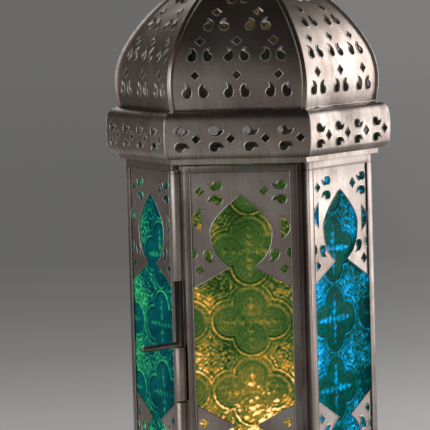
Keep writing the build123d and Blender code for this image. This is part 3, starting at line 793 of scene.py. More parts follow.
def silver(name, colours):
    """Antique silver: brushed along the sides, darkened in patches, with painted shade under the collar's
    lip and round the dome's foot, and rubbed bright at rims and seams.
    """
    tarnish, rough, smoke_and_shade = SILVERS[name]
    material, start = new_material(name)
    place = start.here()
    x = start.node("ShaderNodeSeparateXYZ", {0: place})
    y, z = x.other(1), x.other(2)
    angle = start.math("ARCTAN2", x, y * -1.0)
    side = start.math("ROUND", angle / SIXTH)
    reach = start.math("SQRT", x * x + y * y)
    turn = angle - side * SIXTH
    across = reach * start.math("SINE", turn)
    along = z - reach * start.math("COSINE", turn) * 0.7
    grain = start.node("ShaderNodeCombineXYZ", {0: across, 1: side * 0.37, 2: along * 0.035})
    streak, broad = start.noise(grain, 1500.0, 3.0), start.noise(grain, 260.0, 2.0)
    blotch, speck = start.noise(place, 34.0, 5.0), start.noise(place, 420.0, 4.0)
    warm, patina = start.noise(place, 17.0, 3.0), start.noise(place, 11.0, 4.0)
    worn = start.attribute("burnish")
    rubbed = worn.clip(0.0, 1.0)
    dark = (blotch * 0.7 + broad * 0.2 + speck * 0.25).clip(0.75 - 0.3 * tarnish, 0.95 - 0.3 * tarnish)
    dark = dark * (1 - rubbed)
    crease = abs(z - COLLAR_TOP).least(abs(z - BASE_TOP)).least(abs(z - FOOT_HEIGHT))
    fold = abs(abs(across) - STRIP_EDGE[0]).least(abs(z - STRIP_EDGE[1])).least(abs(z - STRIP_EDGE[2]))
    body = (z - BASE_TOP).clip(0.0, 0.0002) * (BODY_TOP - z).clip(0.0, 0.0002)
    # Painted shadow just under the collar's lip, over the tops of the door and the panels.
    shadow_under_collar = (BODY_TOP - z).clip(0.014, 0.002) * (z - BODY_TOP).clip(0.0005, -0.0005) * 0.55
    # Painted shade, in blotches, round the dome's foot where it meets the collar.
    shade_at_dome_foot = abs(z - COLLAR_TOP).clip(0.017, 0.003) * blotch.clip(0.25, 0.6) * 0.65
    # Darker, in blotches, near the collar's top, the base's top and the foot, along the frames' inner edges
    # and on the holes' walls.
    soot_and_shade = (1 - crease.clip(0.0, 0.006)) * blotch.clip(0.3, 0.6)
    for more in ((1 - fold.clip(0.0002, 0.0011)) * body, shadow_under_collar, shade_at_dome_foot, worn.clip(0.0, -1.0)):
        soot_and_shade = soot_and_shade.most(more)
    # Some silvers are darker all over: tarnish on the pin, and painted shade on the corner posts and the
    # bead at the dome's foot.
    if smoke_and_shade:
        soot_and_shade = soot_and_shade.most(blotch * 0.3 + smoke_and_shade)
    soot_and_shade = soot_and_shade * (1 - rubbed)
    tone = dark.mix(tuple(colours.silver), tuple(colours.tarnish))
    tone = (warm.clip(0.44, 0.58) * 0.7).mix(tone, tuple(colours.copper))
    tone = (streak.clip(0.4, 0.62) * 0.3).mix(tone, tuple(colours.tarnish))
    tone = (patina.clip(0.4, 0.6) * (1 - rubbed) * 0.8).mix(tone, tuple(colours.tarnish))
    tone = (soot_and_shade * 0.75).mix(tone, tuple(colours.soot_and_shade))
    tone = rubbed.mix(tone, tuple(colours.bright))
    shine = dark * 0.12 + streak * 0.14 + (rough - 0.07) + rubbed * 0.06
    scratch = start.bump(0.22, 0.0002, streak * 0.25 + speck * 0.3)
    dent = start.bump(0.16, 0.002, start.noise(place, 55.0, 1.0), Normal=scratch)
    inputs = {"Base Color": tone, "Metallic": 1.0, "Roughness": shine, "Normal": dent}
    return end_material(material, start, inputs)


def pressed_glass(name, colours):
    """Coloured pressed glass that glows with painted light, as if lit from inside: dark on some slopes and
    bright on others.
    """
    material, start = new_material(name)
    glass = name.split()[0]
    grain = start.noise(start.here(), 1000.0, 2.0)
    stops = []
    for level, place in GLASS_LEVELS.items():
        stops.append((place, tuple(getattr(colours, tone_name(glass, level)))))
    tone = (start.attribute("shade") + (grain - 0.5) * 0.16).ramp(stops)
    inputs = {"Base Color": tone, "Roughness": grain * 0.14 + 0.06, "IOR": 1.16, "Specular IOR Level": 0.02}
    # The glass glows: its emission is painted light, in the colours of its painted shade, standing in for
    # the light that shines through it.
    inputs.update({"Transmission Weight": 0.15, "Emission Color": tone, "Emission Strength": 0.8})
    inputs["Normal"] = start.bump(0.3, 0.0003, grain)
    return end_material(material, start, inputs)


def candle_wax(name, colours):
    """Soft pale wax, a little translucent."""
    material, start = new_material(name)
    cloud = start.noise(start.here(), 90.0, 3.0)
    deep = tuple(0.82 * value for value in colours.wax[:3]) + (1,)
    inputs = {"Base Color": cloud.mix(tuple(colours.wax), deep), "Roughness": cloud * 0.2 + 0.35}
    inputs.update({"Subsurface Weight": 0.35, "Subsurface Scale": 0.006})
    inputs["Normal"] = start.bump(0.2, 0.0005, cloud)
    return end_material(material, start, inputs)


def charred_wick(name, colours):
    """Black cotton with greyer threads."""
    material, start = new_material(name)
    thread = start.noise(start.here(), 1800.0, 3.0)
    inputs = {"Base Color": thread.mix((0.015, 0.012, 0.01, 1), (0.12, 0.1, 0.08, 1))}
    inputs.update({"Roughness": thread * 0.2 + 0.7, "Normal": start.bump(0.6, 0.0003, thread)})
    return end_material(material, start, inputs)


def flame_light(name, colours, low, high):
    """A flame: pale and bright in its middle, orange at its tip and bluish at its foot."""
    material, start = new_material(name)
    height = start.node("ShaderNodeSeparateXYZ", {0: start.here()}, 2)
    stops = [(0.0, (0.25, 0.2, 0.35, 1)), (0.25, (1.0, 0.72, 0.3, 1)), (0.6, (1.0, 0.8, 0.42, 1))]
    glow = height.clip(low, high).ramp(stops + [(1.0, tuple(colours.flame))])
    inputs = {"Base Color": (0.9, 0.6, 0.3, 1), "Roughness": 0.6}
    inputs.update({"Emission Color": glow, "Emission Strength": 8.0})
    return end_material(material, start, inputs)


# How bright the paper looks from the lantern outwards: distances in metres and shares of the backdrop.
PAPER_FALL = [(0.0, 2.7), (0.5, 2.65), (0.62, 2.45), (0.75, 2.1), (1.0, 1.58), (1.35, 1.22), (1.8, 1.02)]
PAPER_FALL += [(3.0, 1.02), (7.0, 1.15)]
# How many times brighter it is on the right of the view.
PAPER_ASIDE = 1.4


def studio_paper(name, colours):
    """Pale paper that darkens away from the lantern, as camera, mirror and glass rays see it."""
    material, start = new_material(name)
    side = start.node("ShaderNodeSeparateXYZ", {0: start.here()})
    depth = side.other(1)
    path = start.node("ShaderNodeLightPath")
    seen = path.most(path.other("Is Glossy Ray")).most(path.other("Is Transmission Ray"))
    paper = start.node("ShaderNodeBsdfDiffuse", {"Color": tuple(colours.floor)})
    reach = start.math("SQRT", side * side + depth * depth)
    far = PAPER_FALL[-1][0]
    tones = []
    for share in (1.0, PAPER_ASIDE):
        stops = []
        for distance, level in PAPER_FALL:
            tone = tuple(share * level * value for value in colours.backdrop[:3]) + (1,)
            stops.append((distance / far, tone))
        tones.append((reach / far).ramp(stops))
    tone = (side + depth * tan(radians(VIEW_TURN))).clip(-0.1, 0.3).mix(*tones)
    glow = start.node("ShaderNodeEmission", {"Color": tone, "Strength": 1.0})
    fade = {0: reach, 1: 0.2, 2: 0.5, 3: 0.0, 4: 1.0}
    away = start.node("ShaderNodeMapRange", fade, interpolation_type="SMOOTHSTEP")
    surface = start.node("ShaderNodeMixShader", {0: away * seen, 1: paper, 2: glow})
    start.node("ShaderNodeOutputMaterial", {"Surface": surface})
    return material


def finish(kind, context):
    """One of the lantern's finishes, made the first time that it is asked for."""
    makers = {"silver": silver, "glass": pressed_glass, "wax": candle_wax, "wick": charred_wick}
    made = bpy.data.materials.get(kind)
    return made or makers[kind.split()[1]](kind, context.scene.lantern_colours)


def dress(node, material):
    """Gives a CAD node that stays a better material."""
    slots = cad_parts[node].material_slots
    if not slots:
        raise RuntimeError(f"{node} has no material slot")
    for slot in slots:
        slot.material = material


def flat_sheet(name, half, low, high, outer, thickness):
    """A flat upright sheet on the front side, from its outer face inwards."""
    points = [(x, y, z) for y in (-outer, thickness - outer) for x in (-half, half) for z in (low, high)]
    faces = [(0, 1, 3, 2), (4, 5, 7, 6), (0, 1, 5, 4), (2, 3, 7, 6), (0, 2, 6, 4), (1, 3, 7, 5)]
    return plain_mesh(name, points, faces)


# Spacing of the four holes of a row along a band.
BAND_PITCH = (2 * BAND_APOTHEM * TAN30 - 5.2 * MM) / 4
# The collar's row lies below the band's middle, and its commas stand off the row and to the left.
COLLAR_DROP = 1.1 * MM
COMMA_OFF = 4.6 * MM
COMMA_LEFT = 3.4 * MM
GEM_LEFT = 0.4 * MM


def collar_holes():
    """Two rows of commas and a row of diamonds round the collar."""
    row = (BODY_TOP + LIP_HEIGHT + ROLL_R + COLLAR_TOP - SHOULDER_R) / 2 - COLLAR_DROP
    holes = []
    for step in range(4):
        column = BAND_PITCH * (step - 1.5) - COMMA_LEFT
        holes.append((on_front(BAND_APOTHEM, row + COMMA_OFF, 90, column, -90), MIRRORED))
        holes.append((on_front(BAND_APOTHEM, row - COMMA_OFF, 90, column, -90), COMMA))
        holes.append((on_front(BAND_APOTHEM, row, 90, column + BAND_PITCH / 2 - GEM_LEFT), DIAMOND))
    return holes


def base_holes():
    """A row of diamonds round the base."""
    row = (BASE_TOP - LIP_HEIGHT - ROLL_R + FOOT_HEIGHT + SHOULDER_R) / 2
    return [(on_front(BAND_APOTHEM, row, 90, BAND_PITCH * (step - 1.5)), DIAMOND) for step in range(4)]


# Rows of holes up a gore, in mm: runs of the commas and diamonds, half a pair's width, pairs and margin.
GORE_ROWS = [
    (11.9, 20.8, 4.8, 3, 12.9),
    (33.0, 41.6, 4.6, 3, 13.6),
    (53.0, 61.8, 4.6, 2, 16.8),
    (73.0, 81.5, 3.8, 1, 20.0),
]


def gore_holes(section, sizes):
    """Pairs of commas with diamonds above them, in rows that follow the dome's section."""
    holes = []
    for comma_run, gem_run, half, count, margin in GORE_ROWS:
        reach = (section.at(comma_run * MM)[0] - RIB_WIDTH) * TAN30 - margin * MM
        bulb_run = comma_run * MM + (sizes.comma_bulb - sizes.comma_tail) / 2
        for centre in np.linspace(-reach, reach, count) if count > 1 else [0.0]:
            holes.append((on_front(*section.at(bulb_run), centre - half * MM), MIRRORED))
            holes.append((on_front(*section.at(bulb_run), centre + half * MM), COMMA))
            holes.append((on_front(*section.at(gem_run * MM), centre), DIAMOND))
    return holes


def fret_holes(outer):
    """The window of a fretwork sheet and the small ornament above and below it."""
    half_width, half_height = FRET_HALF
    holes = []
    # Places are taken from the sheet's sides and from its upper and lower edges.

    def add(across, up, kind, turn=0):
        holes.append((on_front(outer, PANE_CENTRE + up, 90, across, turn), kind))

    add(0, 0, WINDOW)
    for up in (1, -1):
        row = up * (half_height - 13.1 * MM)
        for left in (6.9 * MM - half_width, half_width - 16.6 * MM):
            add(left, row + up * 0.9 * MM, DIAMOND)
            add(left + 10.4 * MM, row + up * 4.2 * MM, COMMA if up > 0 else MIRRORED, 90)
            add(left + 10.4 * MM, row - up * 4.2 * MM, MIRRORED if up > 0 else COMMA, 90)
        for side in (1, -1):
            add(side * (half_width - 5.7 * MM), up * (half_height - 57.6 * MM), DIAMOND)
            turn = 90 + 90 * up - 30 * side * up
            comma = COMMA if side * up > 0 else MIRRORED
            add(side * (half_width - 10.9 * MM), up * (half_height - 48.5 * MM), comma, turn)
            turn = 0 if side > 0 else 180
            add(side * (half_width - 7.3 * MM), up * (half_height - (31.0 + 2.6 * side) * MM), SLIT, turn)
            add(side * (half_width - 1.1 * MM), up * (half_height - 48.1 * MM), HALF_ROUND, 180 - turn)
    return holes


# Half of a dome rib's section, in mm: across the joint and out of it.
RIB_HALF = [(-1.6, -2.0), (-1.6, 0.4), (-1.5, 0.65), (-1.25, 0.8), (-0.8, 0.88), (0.0, 0.9)]


def rib_mesh(section):
    """The standing seam between two gores: a folded strip with rounded edges."""
    loop = RIB_HALF + [(-across, out) for across, out in RIB_HALF[-2::-1]]
    loops = []
    for radius, height, flat, rise in section.corner_line():
        points = []
        for across, out in loop:
            reach, aside = radius + out * MM * flat, across * MM
            place = (SIN30 * reach + COS30 * aside, SIN30 * aside - COS30 * reach, height + out * MM * rise)
            points.append(place)
        loops.append(points)
    return loft("rib", loops)


def cells(across, up, size, seed):
    """Distance to the nearest of scattered points, in parts of their spacing, and that point's number."""
    scatter = np.random.default_rng(seed).random((3, 256, 256))
    a, b = across / size, up / size
    column, row = np.floor(a).astype(int), np.floor(b).astype(int)
    nearest = np.full(a.shape, 9.0)
    number = np.zeros(a.shape)
    for i in (-1, 0, 1):
        for j in (-1, 0, 1):
            p, q = (column + i) % 256, (row + j) % 256
            reach = np.hypot(a - column - i - scatter[0, p, q], b - row - j - scatter[1, p, q])
            number = np.where(reach < nearest, scatter[2, p, q], number)
            nearest = np.minimum(nearest, reach)
    return nearest, number


def pressed_pattern(across, up, tile, seed):
    """Quatrefoils with a leaf cross inside and leaf fans between them, in millimetres."""
    wide, tall = tile
    x = np.abs((across + wide / 2) % wide - wide / 2)
    y = np.abs((up + tall / 2) % tall - tall / 2)
    edge = np.minimum(np.hypot(x - 12.3, y) - 9.9, np.hypot(x, y - 9.4) - 10.3)
    ridge = np.exp(-((edge / 0.85) ** 2)) + 0.9 * np.exp(-(((edge - 3.2) / 0.9) ** 2))
    bowl = 0.55 - 0.45 * (1 - np.clip(-edge / 10.0, 0, 1)) ** 2
    leaf = np.zeros(x.shape)
    vein = np.zeros(x.shape)
    for along, beside, reach in ((x, y, 18.5), (y, x, 15.5)):
        width = 3.3 * np.sqrt(np.clip(1 - along / reach, 0, 1)) * np.clip(0.3 + along / 7.0, 0, 1)
        width = width * (0.75 + 0.25 * np.cos(2 * pi * along / 4.6))
        inside = np.clip((width - beside) / 0.9, 0, 1)
        grain = 0.4 + 0.4 * np.cos(2 * pi * (along - 0.9 * beside) / 4.6)
        vein = np.where(inside > leaf, grain, vein)
        leaf = np.maximum(leaf, inside)
    fan_x, fan_y = wide / 2 - x, tall / 2 - y
    angle = np.arctan2(fan_y, fan_x)
    petals = np.abs(((angle * 8 / pi) % 1.0) - 0.5) * 2
    tile_number = 3 * np.floor(up / tall) + 7 * np.floor(across / wide)
    bed, facet = cells(np.hypot(fan_x, fan_y) * 0.55, angle * 6.5 + tile_number, 1.3, seed)
    rough = 1 - np.clip(bed, 0, 1)
    fan = np.clip((edge - 3.6) / 0.8, 0, 1)
    inner = np.clip(-edge / 0.8, 0, 1)
    fill = inner * (bowl + 0.4 * vein * leaf + 0.05 * rough) + fan * (0.1 + 0.3 * petals + 0.6 * rough)
    fill = fill + (1 - inner) * (1 - fan) * (0.22 + 0.1 * rough)
    height = np.clip(np.maximum(fill, 0.95 * ridge), 0, 1)
    return height, edge, inner * (1 - leaf), inner * leaf, fan * (facet - 0.5)


# How each glass's painted light looks: its mean shade, how much each feature of the relief lightens it, the
# painted shade across it, and its grit in mm.
LOOK_KEYS = ["mean", "slope", "facet", "rings", "speck", "lobe", "cross", "side_shade", "grit"]
GLASS_LOOKS = {
    "amber": [0.46, 0.44, 0.62, 0.16, 0.42, -0.11, -0.04, 0.0, 1.3],
    "blue": [0.43, 0.46, 0.5, 0.16, 0.62, -0.24, 0.24, -0.005, 1.8],
    "green": [0.37, -0.5, 0.6, 0.12, 0.4, -0.16, 0.05, -0.004, 1.8],
}
# Where the painted glints of the flame show in the amber glass: their middle and their reach, in
# millimetres.
GLINTS = (8.0, 101.0, 23.0, 15.5)


def pressed_shade(across, up, start, sizes, glass, seed):
    """Height of the pressed pattern, and the painted light at each point: how light it is for what its
    slope would show through it.
    """
    look = dict(zip(LOOK_KEYS, GLASS_LOOKS[glass]))
    tile = (sizes.tile_width / MM, sizes.tile_height / MM)
    height, edge, lobes, cross, facet = pressed_pattern(across - start[0], up - start[1], tile, seed)
    rise, lean = np.gradient(height * (sizes.relief / MM), sizes.pane_step / MM)
    tilt = np.tanh(2.4 * (0.35 * lean + 0.85 * rise))
    number = cells(across * 1.1 - 0.3 * up, up + 0.2 * across, look["grit"], seed + 50)[1]
    # Painted refraction: a made-up scene behind the glass, looked up where each slope would bend the view.
    u, v = across + 9.0 * lean, up + 9.0 * rise
    behind = np.sin(u / 5.3 + 1.1 * np.sin(v / 9.1 + 0.6)) + np.sin(v / 6.1 + np.sin(u / 8.7 + 2.0))
    shade = look["mean"] + 0.13 * behind * (1 - 0.55 * lobes) + 0.14 * (height - 0.4)
    shade = shade + look["slope"] * tilt + look["facet"] * facet
    shade = shade + look["rings"] * np.sin(edge * 2 * pi / 2.2) * (1 - 0.6 * lobes - cross)
    shade = shade + look["speck"] * (number - 0.5) * (1 - 0.6 * lobes)
    # The blue and green panes also get a painted shade that darkens them towards one side.
    shade = shade + look["lobe"] * lobes + look["cross"] * cross + look["side_shade"] * across
    # The amber glass gets painted glints of the flame round GLINTS, and painted light that is darker high
    # up and brighter low down.
    if glass == "amber":
        middle, level, wide, tall = GLINTS
        near = np.exp(-(((across - middle) / wide) ** 2) - (((up - level) / tall) ** 2))
        spot, chance = cells(across * 0.75, up * 1.15, 3.6, seed + 70)
        flare = np.exp(-((spot / 0.3) ** 2)) * np.clip((chance - 0.45) / 0.1, 0, 1)
        caught = 1.3 * flare + 0.4 * np.clip(tilt, 0, 1) + 0.6 * np.clip((number - 0.84) / 0.08, 0, 1)
        fall = np.clip((152.0 - up) * 0.0036, -0.2, 0.14) * (1 - 0.4 * lobes)
        shade = shade + fall + near * (0.16 + caught)
    return height, shade / 1.3


# Corners of one square of the panes' inner grid, which is twice as wide as the outer one.
SQUARE = [(0, 0), (1, 0), (2, 0), (2, 1), (2, 2), (1, 2), (0, 2), (0, 1)]


def pane_mesh(panes, outer, sizes, glass):
    """Panes of pressed glass: patterned outside, flat inside, with a painted shadow of the sheet's metal
    there.
    """
    half, (low, high) = DOOR_PANE[1][0], (DOOR_PANE[0][2], DOOR_PANE[1][2])
    wide = 2 * int(round(half / sizes.pane_step)) + 1
    tall = 2 * int(round((high - low) / 2 / sizes.pane_step)) + 1
    across, up = np.meshgrid(np.linspace(-half, half, wide), np.linspace(low, high, tall))
    ring = [(0, i) for i in range(wide - 1)] + [(j, wide - 1) for j in range(tall - 1)]
    ring += [(tall - 1, i) for i in range(wide - 1, 0, -1)] + [(j, 0) for j in range(tall - 1, 0, -1)]
    rim = [j * wide + i for j, i in ring]
    kept = rim + [j * wide + i for j in range(2, tall - 2, 2) for i in range(2, wide - 2, 2)]
    inside = {point: wide * tall + number for number, point in enumerate(kept)}
    sheet = window_outline()
    edge = np.array(sheet[: len(sheet) // 4 + 1])
    clear = np.abs(across) < np.interp(np.abs(up - PANE_CENTRE), edge[:, 1], edge[:, 0])
    corner = (np.arange(tall - 1)[:, None] * wide + np.arange(wide - 1)[None, :]).ravel()
    shell = np.stack([corner, corner + 1, corner + wide + 1, corner + wide], axis=1).tolist()
    shell += [(a, inside[a], inside[b], b) for a, b in zip(rim, rim[1:] + rim[:1])]
    for j in range(0, tall - 1, 2):
        for i in range(0, wide - 1, 2):
            loop = [(j + down) * wide + i + right for down, right in SQUARE]
            shell.append([inside[point] for point in loop if point in inside])
    points, faces, shades = [], [], []
    for side, start in panes.items():
        height, shade = pressed_shade(across / MM, up / MM, start, sizes, glass, 7 + side)
        depth = sizes.relief * (1 - height) - outer
        front = np.stack([across.ravel(), depth.ravel(), up.ravel()], axis=1)
        back = front[kept].copy()
        back[:, 1] = DOOR_PANE[1][1] - DOOR_PANE[0][1] - outer
        shape = np.concatenate([front, back])
        turn = SIXTH * side
        x, y = shape[:, 0].copy(), shape[:, 1].copy()
        shape[:, 0] = x * cos(turn) - y * sin(turn)
        shape[:, 1] = x * sin(turn) + y * cos(turn)
        faces += [[len(points) + point for point in face] for face in shell]
        points += shape.tolist()
        # Inside, the painted light is dimmed, and where the sheet's metal covers the pane it becomes a
        # painted shadow.
        shades += shade.ravel().tolist() + np.where(clear, 0.8 * shade, 0.06).ravel()[kept].tolist()
    mesh = bpy.data.meshes.new("panes")
    mesh.from_pydata(points, [], faces)
    mesh.attributes.new("shade", "FLOAT", "POINT").data.foreach_set("value", shades)
    return mesh


def sleeve(piece, low, high, edge):
    """Adds a rolled tube with rounded rims to a piece, round the hinge's axis."""
    rim = [(TUBE_BORE, 0), (TUBE_R - edge, 0), (TUBE_R - 0.3 * edge, 0.3 * edge), (TUBE_R, edge)]
    outline = [(radius, low + depth) for radius, depth in rim]
    outline += [(radius, high - depth) for radius, depth in rim[::-1]] + [(TUBE_BORE, low)]
    tube = lathe("tube", outline, 40, piece.data.materials[0])
    tube.data.transform(Matrix.Translation((*HINGE_AXIS, 0)))
    bm = bmesh.new()
    bm.from_mesh(piece.data)
    bm.from_mesh(tube.data)
    bpy.data.objects.remove(tube)
    bm.to_mesh(piece.data)
    bm.free()
    smooth(piece.data, 35)


def named(stem, ends):
    """Names of a row of like nodes."""
    return [f"{stem}_{end}" for end in ends]


def seam_path(section, inset):
    """The corner line of a band or dome at the front right, moved in by a bead's radius."""
    path = []
    for radius, height, flat, rise in section.corner_line():
        reach = radius - inset * flat
        path.append((reach * SIN30, -reach * COS30, height - inset * rise))
    return path


def foot_path(apothem, height):
    """A soldered bead's uneven line along the front side, from corner to corner."""
    wobble = np.random.default_rng(3).normal(0.0, 0.22 * MM, (25, 2))
    half = apothem * TAN30
    return [(half * (2 * i / 24 - 1), -apothem - wobble[i][0], height + wobble[i][1]) for i in range(25)]


# The bead at the dome's foot: its radius, and its place outwards of the foot and above the collar.
FOOT_BEAD_R = 0.8 * MM
FOOT_BEAD_OUT = 0.3 * MM
FOOT_BEAD_UP = 0.2 * MM


class LANTERN_OT_bands(bpy.types.Operator):
    """Make the pierced collar and base with their soldered corners, and finish the base plate"""

    bl_idname = "lantern.bands"
    bl_label = "Collar and base"

    def execute(self, context):
        sizes = context.scene.lantern_sizes
        metal = finish("pierced silver", context)
        paths = []
        for stem, section, holes in (
            ("collar", collar_profile(), collar_holes()),
            ("base", base_profile(), base_holes()),
        ):
            sheet = sheet_mesh(stem, section, sizes.sheet, BAND_GAP)
            piece = pierced(f"{stem}_band", sheet, holes, sizes, metal)
            settle(piece, "lantern", named(f"{stem}_side", SIDES))
            paths.append(seam_path(section, sizes.solder))
        piece = beads("band_seams", paths, sizes.solder, metal, 1.0)
        settle(piece, "lantern", [])
        # The bead round the dome's foot is solder, and its darkness is partly painted shade in the crease
        # there.
        path = foot_path(DOME_FOOT + FOOT_BEAD_OUT, COLLAR_TOP + FOOT_BEAD_UP)
        piece = beads("dome_foot_solder", [path], FOOT_BEAD_R, finish("smoked silver", context), 0.0)
        settle(piece, "lantern", [])
        dress("base_plate", finish("folded silver", context))
        return {"FINISHED"}


class LANTERN_OT_dome(bpy.types.Operator):
    """Make the dome's six pierced gores and the seams that stand between them"""

    bl_idname = "lantern.dome"
    bl_label = "Dome"

    def execute(self, context):
        sizes = context.scene.lantern_sizes
        section = dome_profile()
        gore = sheet_mesh("gore", section, sizes.sheet, RIB_WIDTH)
        holes = gore_holes(section, sizes)
        piece = pierced("dome_gores", gore, holes, sizes, finish("pierced silver", context))
        settle(piece, "lantern", named("dome_gore", SIDES))
        piece = bake("dome_ribs", rib_mesh(section), repeat_tree(), finish("folded silver", context))
        settle(piece, "lantern", named("dome_rib", CORNERS))
        return {"FINISHED"}


class LANTERN_OT_fretwork(bpy.types.Operator):
    """Make the fretwork sheets in front of the panes, and the door's own"""

    bl_idname = "lantern.fretwork"
    bl_label = "Fretwork"

    def execute(self, context):
        sizes = context.scene.lantern_sizes
        metal = finish("pierced silver", context)
        low, high = DOOR_SHEET[0][2], DOOR_SHEET[1][2]
        for name, body, outer, first, nodes in (
            ("fixed_fretwork", "lantern", FIXED_SHEET[1][1], 1, named("fretwork", SIDES[1:])),
            ("door_fret_sheet", "door", -DOOR_SHEET[0][1], 0, ["door_fretwork"]),
        ):
            sheet = flat_sheet(name, FRET_HALF[0], low, high, outer, sizes.sheet)
            piece = pierced(name, sheet, fret_holes(outer), sizes, metal, first, len(nodes))
            settle(piece, body, nodes)
        return {"FINISHED"}


# The strip beside the door's tubes: its thickness and how far it stays off them.
STILE_THICKNESS = 0.8 * MM
STILE_GAP = 0.2 * MM
# The raised edge inside each frame: its radius, how deep its middle lies and how bright it is.
EDGE_BEAD_R = 0.4 * MM
EDGE_BEAD_DEPTH = 0.2 * MM
EDGE_BRIGHT = 0.3


def stile_mesh():
    """Two strips on the door beside the hinge tubes, which leave the pin's window open."""
    left, front, low = DOOR_FRAME[0]
    reach = HINGE_AXIS[0] + TUBE_R + STILE_GAP
    half = (left - reach) / 2
    strips = bmesh.new()
    for foot, top in ((low, DOOR_TUBE[1]), (DOOR_TUBE[1] + PIN_WINDOW, DOOR_FRAME[1][2])):
        strips.from_mesh(flat_sheet("strip", half, foot, top, -front, STILE_THICKNESS))
    strips.transform(Matrix.Translation((reach + half, 0, 0)))
    return freed("stile", strips)


class LANTERN_OT_frames(bpy.types.Operator):
    """Make the folded frames of the panels and the door, and the corner posts, with rounded edges"""

    bl_idname = "lantern.frames"
    bl_label = "Frames and posts"

    def execute(self, context):
        sizes = context.scene.lantern_sizes
        for name, body, look, nodes in (
            ("panel_frames", "lantern", "folded silver", named("panel_frame", SIDES[1:])),
            # The corner posts' darker silver is painted shade in the grooves between the panels.
            ("corner_posts", "lantern", "smoked silver", named("corner_post", CORNERS)),
            ("door_leaf_frame", "door", "browned silver", ["door_frame"]),
        ):
            piece = cad_copy(name, nodes, finish(look, context), sizes.edge)
            settle(piece, body, nodes)
        piece = add_object("door_stile_edge", stile_mesh())
        piece.data.materials.append(finish("browned silver", context))
        settle(piece, "door", [])
        half, low, high = STRIP_EDGE
        for name, body, face, first, count in (
            ("panel_frame_edges", "lantern", PANEL_APOTHEM, 1, 5),
            ("door_frame_edge", "door", -DOOR_FRAME[0][1], 0, 1),
        ):
            depth = EDGE_BEAD_DEPTH - face
            path = [(-half, depth, low), (half, depth, low), (half, depth, high), (-half, depth, high)]
            metal = finish("folded silver", context)
            piece = beads(name, [path + path[:1]], EDGE_BEAD_R, metal, EDGE_BRIGHT, first, count)
            settle(piece, body, [])
        return {"FINISHED"}


# Each piece of glass: its name, its glass, its body, and its sides with where the pattern starts, in mm.
PANES = [
    ("door_amber_pane", "amber", "door", {0: (4.4, 154.5)}),
    ("back_amber_pane", "amber", "lantern", {3: (-3.0, 148.0)}),
    ("blue_panes", "blue", "lantern", {1: (-7.0, 152.0), 4: (5.0, 145.0)}),
    ("green_panes", "green", "lantern", {2: (2.0, 158.0), 5: (9.0, 150.0)}),
]


class LANTERN_OT_panes(bpy.types.Operator):
    """Make the panes of pressed glass: amber, blue and green"""

    bl_idname = "lantern.panes"
    bl_label = "Glass panes"

    def execute(self, context):
        for name, glass, body, panes in PANES:
            outer, nodes = FIXED_PANE[1][1], named("glass_pane", [SIDES[side] for side in panes])
            if body == "door":
                outer, nodes = -DOOR_PANE[0][1], ["door_glass"]
            mesh = pane_mesh(panes, outer, context.scene.lantern_sizes, glass)
            piece = add_piece(name, mesh, finish(f"{glass} glass", context), 60)
            settle(piece, body, nodes)
        return {"FINISHED"}


class LANTERN_OT_hinge(bpy.types.Operator):
    """Make the hinge tubes, the door's tube and the pin that lifts out"""

    bl_idname = "lantern.hinge"
    bl_label = "Hinge and pin"

    def execute(self, context):
        for name, body, node, look, spans in (
            ("post_hinge_tubes", "lantern", "hinge_tubes", "rolled silver", POST_TUBES),
            ("door_tube", "door", "door_hinge_tube", "rolled silver", [DOOR_TUBE]),
            ("lift_out_pin", "pin", "hinge_pin", "smoked silver", []),
        ):
            piece = cad_copy(name, [node], finish(look, context))
            for low, high in spans:
                sleeve(piece, low, high, context.scene.lantern_sizes.edge)
            settle(piece, body, [node])
        return {"FINISHED"}


class LANTERN_OT_hanger(bpy.types.Operator):
    """Make the cap over the gores, the eye and the ring to hang the lantern by"""

    bl_idname = "lantern.hanger"
    bl_label = "Cap, eye and ring"

    def execute(self, context):
        for name, body, node in (
            ("turned_cap", "lantern", "dome_cap"),
            ("hanger_eye", "lantern", "hanging_eye"),
            ("hanger_ring", "ring", "hanging_ring"),
        ):
            piece = cad_copy(name, [node], finish("turned silver", context))
            settle(piece, body, [node])
        return {"FINISHED"}


CANDLE_R = CANDLE[1][0]
CANDLE_LOW = CANDLE[0][2]
CANDLE_TOP = CANDLE[1][2]
# The melted top, from its rim to its middle: the share of the candle's radius, and the depth in mm.
CANDLE_POOL = [(0.97, 0.9), (0.93, 0.2), (0.87, 0.0), (0.8, 0.9), (0.6, 2.6), (0.3, 3.2), (0.0, 3.3)]
CUP_EDGE = 0.2 * MM
WICK_R = 0.75 * MM
WICK_LEAN = 0.9 * MM
WICK_TOP = WICK[1][2]
WICK_LOW = CANDLE_TOP - 4 * MM
FLAME_FOOT = WICK_TOP - 4 * MM
FLAME_R = 3.2 * MM
FLAME_LIGHT = (1.0, 0.62, 0.28)
FLAME_POWER = 0.04


def melted(radius, z, angle):
    """Where a point of the candle ends up: out of round, and sagged near the top."""
    sag = MM * (sin(2 * angle + 0.7) + 0.6 * sin(5 * angle))
    reach = max(0.0, (z - CANDLE_LOW) / (CANDLE_TOP - CANDLE_LOW) - 0.6) / 0.4
    radius = radius * (1 + 0.006 * sin(3 * angle + z / (9 * MM)))
    return radius, z - max(0.0, 0.9 * MM + sag) * reach**3


